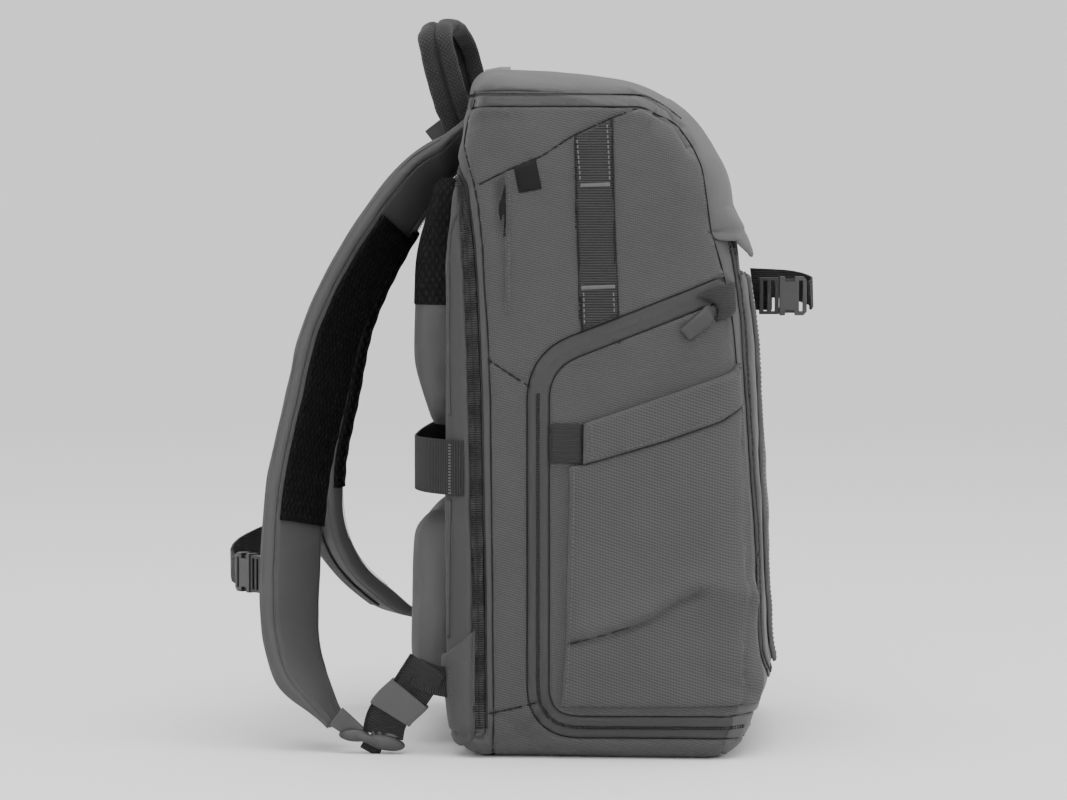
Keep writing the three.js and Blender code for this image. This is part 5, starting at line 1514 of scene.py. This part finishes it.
def add_handle():
    points = [[p["forward"] * DEPTH, p["side"] * HANDLE_SPREAD, HEIGHT + p["rise"] * HANDLE_RISE]
              for p in HANDLE_LINE]
    frames = frames_along(points, lambda share: (1, 0, 0.25), 110)

    def section(share):
        ring = []
        for number in range(40):
            angle = 2 * math.pi * number / 40
            c, s = math.cos(angle), math.sin(angle)
            across = math.copysign(abs(c) ** 0.8, c)
            lobes = 1 - 0.82 * math.exp(-((across / 0.15) ** 2))
            height = 1.0 if s > 0 else 0.8
            ring.append([across * HANDLE_WIDTH / 2, s * abs(s) ** -0.3 * lobes * height * HANDLE_THICKNESS / 2
                         if abs(s) > 1e-6 else 0.0])
        return ring

    handle = loft("padded_handle", frames, section, HANDLE_CLOTH)
    ripple(handle, 0.25, 16.0, 21)
    piece(handle, "shell_cloth", ["grab_handle"])
    for number, face in enumerate((-1, 1)):
        places = [(middle + out * face * HANDLE_THICKNESS * 0.12, out * face) for middle, _, out, _,
                  _ in frames]
        seam_thread(f"handle_thread_{number}", places, 0.9)


# Back pads, blown up by a cloth simulation

def pad_rings(pad, shrink):
    middle = pad["middle"] * WIDTH / 2
    low = pad["low"] * HEIGHT + shrink
    high = pad["high"] * HEIGHT - shrink
    width = pad["width"] * WIDTH / 2 - 2 * shrink
    levels = [(6.0, 0.0), (0.6, 0.0), (0.3, 0.16), (0.12, 0.45), (0.0, 1.0)]
    rings = []
    for soft, inset in levels:
        edge = inset * 9.0
        out = (pad["thickness"] - shrink) - soft * 9.0
        if soft == 6.0:
            out = -4.0
        corner = 24.0 - edge * 0.6
        ring = []
        centres = [(middle + width / 2 - edge - corner, high - edge - corner, 0),
                   (middle - width / 2 + edge + corner, high - edge - corner, 90),
                   (middle - width / 2 + edge + corner, low + edge + corner, 180),
                   (middle + width / 2 - edge - corner, low + edge + corner, 270)]
        for y, z, start in centres:
            for step in range(7):
                angle = math.radians(start + 15 * step)
                py = y + corner * math.cos(angle)
                pz = z + corner * math.sin(angle)
                share = (pz - low) / (high - low)
                ring.append([BACK_X - out + pad["lean"] * pad["thickness"] * share, py, pz])
        rings.append(ring)
    return rings


def closed_rings(rings):
    points = [point for ring in rings for point in ring]
    return points, tube_faces(len(rings), len(rings[0]))


def applied(thing):
    bpy.context.view_layer.update()
    depsgraph = bpy.context.evaluated_depsgraph_get()
    mesh = bpy.data.meshes.new_from_object(thing.evaluated_get(depsgraph))
    old = thing.data
    thing.modifiers.clear()
    thing.data = mesh
    bpy.data.meshes.remove(old)


def mesh_points(thing):
    points = np.zeros(len(thing.data.vertices) * 3)
    thing.data.vertices.foreach_get("co", points)
    return points.reshape(-1, 3)


# How far a pad stands off the back at a share of its height: thinner at both ends
def pad_profile(share, low_end, high_end, falloff):
    risen = low_end + (1 - low_end) * smooth_step(share, 0, 0.3)
    return risen - (1 - high_end) * smooth_step(share, falloff, 1)


def shape_pad(thing, pad, low_end, high_end, falloff):
    points = mesh_points(thing)
    low = pad["low"] * HEIGHT * MM
    high = pad["high"] * HEIGHT * MM
    back = BACK_X * MM
    for point in points:
        if point[0] < back:
            share = (point[2] - low) / (high - low)
            point[0] = back + (point[0] - back) * pad_profile(share, low_end, high_end, falloff)
    thing.data.vertices.foreach_set("co", points.ravel())
    thing.data.update()


def blown_up(thing):
    mend_normals(thing)
    remesh = thing.modifiers.new("remesh", "REMESH")
    remesh.mode = "VOXEL"
    remesh.voxel_size = PAD_VOXEL
    applied(thing)
    start = mesh_points(thing)
    cloth = thing.modifiers.new("cloth", "CLOTH")
    cloth.settings.quality = 5
    cloth.settings.mass = 0.3
    cloth.settings.tension_stiffness = 20
    cloth.settings.compression_stiffness = 20
    cloth.settings.bending_stiffness = 2
    cloth.settings.use_pressure = True
    cloth.settings.uniform_pressure_force = PAD_PRESSURE
    cloth.settings.effector_weights.gravity = 0
    scene = bpy.context.scene
    for number in range(1, PAD_STEPS + 1):
        scene.frame_set(number)
    applied(thing)
    scene.frame_set(1)
    end = mesh_points(thing)
    move = end - start
    length = np.linalg.norm(move, axis=1, keepdims=True)
    end = start + move * np.minimum(1, PAD_SWELL * MM / np.maximum(length, 1e-9))
    thing.data.vertices.foreach_set("co", end.ravel())
    subdivide = thing.modifiers.new("smooth", "SUBSURF")
    subdivide.levels = 1
    subdivide.render_levels = 1
    applied(thing)
    thing.data.polygons.foreach_set("use_smooth", [True] * len(thing.data.polygons))


def set_box_uv(thing):
    while thing.data.uv_layers:
        thing.data.uv_layers.remove(thing.data.uv_layers[0])
    box_uv(thing.data, mesh_points(thing))


# Keeps what lies above a height, pushed out a little
def top_part(thing, name, height, push, material):
    mesh = thing.data.copy()
    mesh.name = name
    copy = bpy.data.objects.new(name, mesh)
    bpy.context.scene.collection.objects.link(copy)
    bm = bmesh.new()
    bm.from_mesh(mesh)
    whole = bm.verts[:] + bm.edges[:] + bm.faces[:]
    bmesh.ops.bisect_plane(bm, geom=whole, plane_co=(0, 0, height * MM), plane_no=(0, 0, 1), clear_inner=True)
    bm.normal_update()
    for vert in bm.verts:
        vert.co += vert.normal * push * MM
    border = [edge for edge in bm.edges if edge.is_boundary]
    grown = bmesh.ops.extrude_edge_only(bm, edges=border)
    for vert in [v for v in grown["geom"] if isinstance(v, bmesh.types.BMVert)]:
        vert.co -= vert.normal * push * MM * 1.5
        vert.co.z += 0.0005
    bm.to_mesh(mesh)
    bm.free()
    mesh.materials.clear()
    mesh.materials.append(material)
    set_box_uv(copy)
    return copy


def add_pads():
    for side, word in ((-1, "left"), (1, "right")):
        pad = dict(UPPER_PAD)
        pad["middle"] = UPPER_PAD["middle"] * -side
        points, faces = closed_rings(pad_rings(pad, PAD_SHRINK))
        thing = make_object(f"upper_pad_{word}", points, faces, PAD_CLOTH)
        blown_up(thing)
        shape_pad(thing, pad, 0.55, 0.6, 0.62)
        set_box_uv(thing)
        piece(thing, "shell_cloth", [f"upper_back_pad_{word}"])
        top = top_part(thing, f"upper_pad_lining_{word}", PAD_MESH_FROM, PAD_MESH_LIFT, MESH_CLOTH)
        piece(top, "spacer_mesh", [f"upper_pad_mesh_{word}"])
    points, faces = closed_rings(pad_rings(LOWER_PAD, PAD_SHRINK))
    thing = make_object("lower_pad", points, faces, LOWER_PAD_CLOTH)
    blown_up(thing)
    shape_pad(thing, LOWER_PAD, 0.9, 0.8, 0.84)
    set_box_uv(thing)
    piece(thing, "shell_cloth", ["lower_back_pad"])


# Webbing

def body_point(place, side=-1):
    return [place["forward"] * DEPTH, side * abs(place["side"]) * WIDTH / 2, place["height"] * HEIGHT]


# The trolley strap's route: sewn to both sides at its ends, clear of the back between them
TROLLEY_ROUTE = [
    (-91.5, 139.6), (-98.0, 136.2), (-106.0, 128.0), (-118.0, 112.0), (-127.0, 88.0), (-129.5, 45.0),
]
FOOT_ROUTE = [(428, 667), (419, 681), (409, 696), (391, 714), (384, 727), (381, 741)]
FOOT_WIDTH = 27.0


def add_webbing():
    height = TROLLEY_HEIGHT * HEIGHT
    half = [[x, -y, height] for x, y in TROLLEY_ROUTE]
    points = half + [[x, y, height] for x, y in TROLLEY_ROUTE[::-1]]
    band = frames_along(points, lambda share: (0, 0, 1), 150)
    ribbon("trolley_band", band, TROLLEY_WIDTH, TROLLEY_THICKNESS, TROLLEY_WEBBING, "webbing",
           ["trolley_strap"])
    for word, share in (("left", 0.035), ("right", 0.965)):
        middle, across, out, _, _ = frames_along(points, lambda share: (0, 0, 1), 1, share, share + 0.001)[0]
        outward = out if out[1] * (-1 if word == "left" else 1) > 0 else -out
        places = [(middle + across * (k * 2.0 - 17) + outward * 0.9, outward) for k in range(18)]
        bar_tack(f"trolley_tack_{word}", places)
    route = near(FOOT_ROUTE)
    sides = np.linspace(-132.5, -121.5, len(route))
    left = [[x, y, z] for (x, z), y in zip(route, sides)]
    start = np.array([0.87, 0.0, -0.5])
    end = np.array([0.92, 0.0, -0.4])

    def turning(share):
        return start + (end - start) * share

    ribbon("foot_webbing_left", frames_along(left, turning, 60), FOOT_WIDTH, WEBBING, STRAP_WEBBING,
           "webbing",
           ["lower_webbing_left"])
    behind = [[-97.0, -128.5, 48.0], [-112.0, -130.0, 51.0], [-125.0, -130.6, 56.0]]
    ribbon("foot_webbing_behind", frames_along(behind, lambda share: (0.25, 0, -0.95), 20), 20.0, WEBBING,
           STRAP_WEBBING, "webbing")
    edge = [middle + across * (0.5 - FOOT_WIDTH / 2) for middle, across, _, _,
            _ in frames_along(left, turning, 40)]
    seam_thread("foot_edge", [(at, np.array([0.0, -1.0, 0.0])) for at in edge], 1.6, SELVEDGE)
    frames = frames_along(left, turning, 30, 0.39, 0.72)
    keeper = loft("foot_keeper", frames, lambda share: band_section(FOOT_WIDTH + 4.5, 6.4), FRONT_CLOTH)
    piece(keeper, "shell_cloth", ["webbing_keeper"])
    right = [body_point(p, 1) for p in RIGHT_WEBBING_LINE]
    ribbon("foot_webbing_right", frames_along(right, lambda share: (0, -0.7, 0.7), 24),
           SHOULDER_WEBBING * 0.8,
           WEBBING, STRAP_WEBBING, "webbing", ["lower_webbing_right"])


# A lens-shaped lobe of a moulded buckle: flat faces, round rim
def lobe(centre, along, up, radii, rows=10, sides=28):
    along = np.array(along, dtype=float)
    along /= np.linalg.norm(along)
    up = np.array(up, dtype=float)
    up -= along * np.dot(up, along)
    up /= np.linalg.norm(up)
    out = np.cross(along, up)
    points = []
    for row in range(rows + 1):
        turn = math.pi * row / rows - math.pi / 2
        rise = math.copysign(abs(math.sin(turn)) ** 0.7, math.sin(turn))
        size = max(math.cos(turn), 0.02) ** 0.45
        for side in range(sides):
            angle = 2 * math.pi * side / sides
            points.append(np.array(centre) + along * radii[0] * size * math.cos(angle)
                          + up * radii[1] * size * math.sin(angle) + out * radii[2] * rise)
    return points, tube_faces(rows + 1, sides)


# The left ladder lock: two overlapping lobes with bars between them, and the webbing's tail
def add_ladder_lock():
    y = -121.0

    def at(px, py, depth=0.0):
        x, z = near([(px, py)])[0]
        return [x, y + depth, z]

    forms = [
        lobe(at(351.5, 741), (1, 0, -0.06), (0, 0.15, 1), (10.8, 4.4, 4.4)),
        lobe(at(382, 748), (1, 0, -0.2), (0, 0.15, 1), (14.0, 5.3, 4.8)),
        lobe(at(366, 744.5, -1.5), (1, 0, -0.3), (0, 0.15, 1), (11.5, 3.2, 3.6)),
        lobe(at(370.5, 739.5, 0.5), (0, 0, 1), (1, 0, 0), (2.6, 1.5, 3.0)),
        lobe(at(377, 740, 0.5), (0, 0, 1), (1, 0, 0), (2.6, 2.0, 3.0)),
        lobe(at(389, 741, 0.5), (1, 0, -0.2), (0, 0, 1), (5.4, 2.0, 3.0)),
    ]
    points, faces = gather(forms)
    lock = make_object("lock_plate_left", points, faces, BUCKLE_PLASTIC)
    mend_normals(lock)
    piece(lock, "buckle_plastic", ["ladder_lock_left"])
    tail = [at(360, 747.5, 1.0), at(369, 752.5, 1.5), at(378, 757.5, 1.0)]
    tail_frames = frames_along(tail, lambda share: (0.62, 0, 0.78), 12)
    ribbon("lock_tail", tail_frames, 9.0, 1.8, STRAP_WEBBING, "webbing")
    neck = [at(332, 722, 1.5), at(345, 732, 1.5), at(357, 741, 0.5)]
    neck_frames = frames_along(neck, lambda share: (0.62, 0, 0.78), 16)

    def folded(share):
        return [[a * (1 - 0.25 * share), t + 0.7 * math.sin(a * 1.1)] for a, t in band_section(15.0, 3.6)]

    piece(loft("lock_neck", neck_frames, folded, PAD_CLOTH), "webbing")


# Hard pieces keep the model's own solids, with rounded edges

def bevelled(node, name, width, material, slot, segments):
    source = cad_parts[node]
    source = source if isinstance(source, bpy.types.Object) else bpy.data.objects[node]
    mesh = source.data.copy()
    mesh.name = name
    bm = bmesh.new()
    bm.from_mesh(mesh)
    bmesh.ops.remove_doubles(bm, verts=bm.verts, dist=1e-6)
    bmesh.ops.dissolve_limit(bm, angle_limit=math.radians(1), verts=bm.verts, edges=bm.edges)
    bm.to_mesh(mesh)
    bm.free()
    thing = bpy.data.objects.new(name, mesh)
    bpy.context.scene.collection.objects.link(thing)
    bevel = thing.modifiers.new("bevel", "BEVEL")
    bevel.width = width * MM
    bevel.segments = segments
    bevel.limit_method = "ANGLE"
    bevel.angle_limit = math.radians(25)
    applied(thing)
    thing.data.materials.clear()
    thing.data.materials.append(material)
    thing.data.polygons.foreach_set("use_smooth", [False] * len(thing.data.polygons))
    set_box_uv(thing)
    return piece(thing, slot, [node])


# Hard parts: node, name of the piece, width of the rounded edge, material, slot and bevel steps
HARD_PARTS = [
    ("ladder_lock_right", "lock_plate_right", 1.6, BUCKLE_PLASTIC, "buckle_plastic", 3),
    ("chest_clip_left", "chest_hook_left", 0.8, DARK_PLASTIC, "buckle_plastic", 2),
    ("chest_clip_right", "chest_hook_right", 0.8, DARK_PLASTIC, "buckle_plastic", 2),
    ("tripod_buckle_socket", "tripod_socket", 0.7, BUCKLE_PLASTIC, "buckle_plastic", 2),
    ("tripod_buckle_plug", "tripod_plug", 0.5, DARK_PLASTIC, "buckle_plastic", 2),
    ("chest_buckle_socket", "chest_socket", 0.7, BUCKLE_PLASTIC, "buckle_plastic", 2),
    ("chest_buckle_plug", "chest_plug", 0.5, DARK_PLASTIC, "buckle_plastic", 2),
    ("tripod_strap", "tripod_loop", 0.3, STRAP_WEBBING, "webbing", 2),
    ("tripod_tab", "tripod_end", 0.3, STRAP_WEBBING, "webbing", 2),
    ("chest_webbing_left", "chest_band_left", 0.3, STRAP_WEBBING, "webbing", 2),
    ("chest_webbing_right", "chest_band_right", 0.3, STRAP_WEBBING, "webbing", 2),
    ("back_zip_pull", "back_tab", 0.7, PULL_RUBBER, "rubber_pull", 3),
    ("lid_zip_pull", "lid_pull", 0.5, PULL_METAL, "pull_metal", 2),
]


def add_buckles():
    add_ladder_lock()
    for part in HARD_PARTS:
        bevelled(*part)


# Camera, light and floor

def add_camera():
    camera = bpy.data.cameras.new("photo_camera")
    camera.lens = CAMERA_LENS
    camera.sensor_width = 36.0
    camera.clip_end = 50.0
    thing = bpy.data.objects.new("photo_camera", camera)
    turn = math.radians(CAMERA_AZIMUTH)
    lift = math.radians(CAMERA_ELEVATION)
    right = Vector((math.cos(turn), math.sin(turn), 0))
    back = Vector((math.sin(turn) * math.cos(lift), -math.cos(turn) * math.cos(lift), math.sin(lift)))
    aim = right * CAMERA_RIGHT * MM + Vector((0, 0, CAMERA_UP * MM))
    thing.location = aim + back * CAMERA_DISTANCE * MM
    thing.rotation_euler = (-back).to_track_quat("-Z", "Y").to_euler()
    bpy.context.scene.collection.objects.link(thing)
    bpy.context.scene.camera = thing


# The lights: name, place, the point that they face, size in metres and power in watts
LIGHTS = [
    ("overhead", (0.2, -0.6, 2.6), (0, 0, 0.2), 2.4, 44),
    ("front_fill", (-0.6, -2.9, 1.3), (0, 0, 0.25), 1.8, 28),
    ("right_fill", (2.4, -1.0, 1.2), (0, 0, 0.25), 1.4, 15),
]


def add_light(name, place, aim, size, power):
    light = bpy.data.lights.new(name, "AREA")
    light.shape = "DISK"
    light.size = size
    light.energy = power
    thing = bpy.data.objects.new(name, light)
    thing.location = place
    thing.rotation_euler = (Vector(aim) - Vector(place)).to_track_quat("-Z", "Y").to_euler()
    bpy.context.scene.collection.objects.link(thing)


# A wide round floor whose rim turns up into a pale wall, the same from every side
def add_floor():
    rings = []
    sides = 96
    profile = [(0.0, 0.0), (FLOOR_RADIUS, 0.0)]
    for step in range(1, 13):
        angle = math.radians(7.5 * step)
        profile.append((FLOOR_RADIUS + FLOOR_CURVE * math.sin(angle), FLOOR_CURVE * (1 - math.cos(angle))))
    profile.append((FLOOR_RADIUS + FLOOR_CURVE, WALL_HEIGHT))
    for radius, height in profile[1:]:
        rings.append([[radius * 1000 * math.cos(2 * math.pi * k / sides),
                       radius * 1000 * math.sin(2 * math.pi * k / sides),
                       height * 1000] for k in range(sides)])
    points = [[0, 0, 0]] + [p for ring in rings for p in ring]
    faces = [[0, 1 + k, 1 + (k + 1) % sides] for k in range(sides)]
    for ring in range(len(rings) - 1):
        for k in range(sides):
            a = 1 + ring * sides + k
            b = 1 + ring * sides + (k + 1) % sides
            faces.append([a, a + sides, b + sides, b])
    m = Nodes("studio_floor", 0.9)
    m.colour(m.noise(0.6, 2.0), (0.9, 0.9, 0.9), (0.92, 0.92, 0.92))
    floor = make_object("studio_floor", points, faces, m.material)
    mend_normals(floor)
    floor.location.z = -0.0004


def add_world():
    world = bpy.data.worlds.new("studio")
    bpy.context.scene.world = world
    world.use_nodes = True
    background = world.node_tree.nodes["Background"]
    background.inputs["Color"].default_value = (1.0, 1.0, 1.0, 1)
    background.inputs["Strength"].default_value = WORLD_STRENGTH


add_camera()
add_world()
add_floor()
for light in LIGHTS:
    add_light(*light)
add_panels()
add_hood()
add_front()
add_sides()
add_left_details()
add_seam_threads()
add_strap(-1, LEFT_STRAP_LINE, "left")
add_strap(1, RIGHT_STRAP_LINE, "right")
add_handle()
add_pads()
add_webbing()
add_buckles()

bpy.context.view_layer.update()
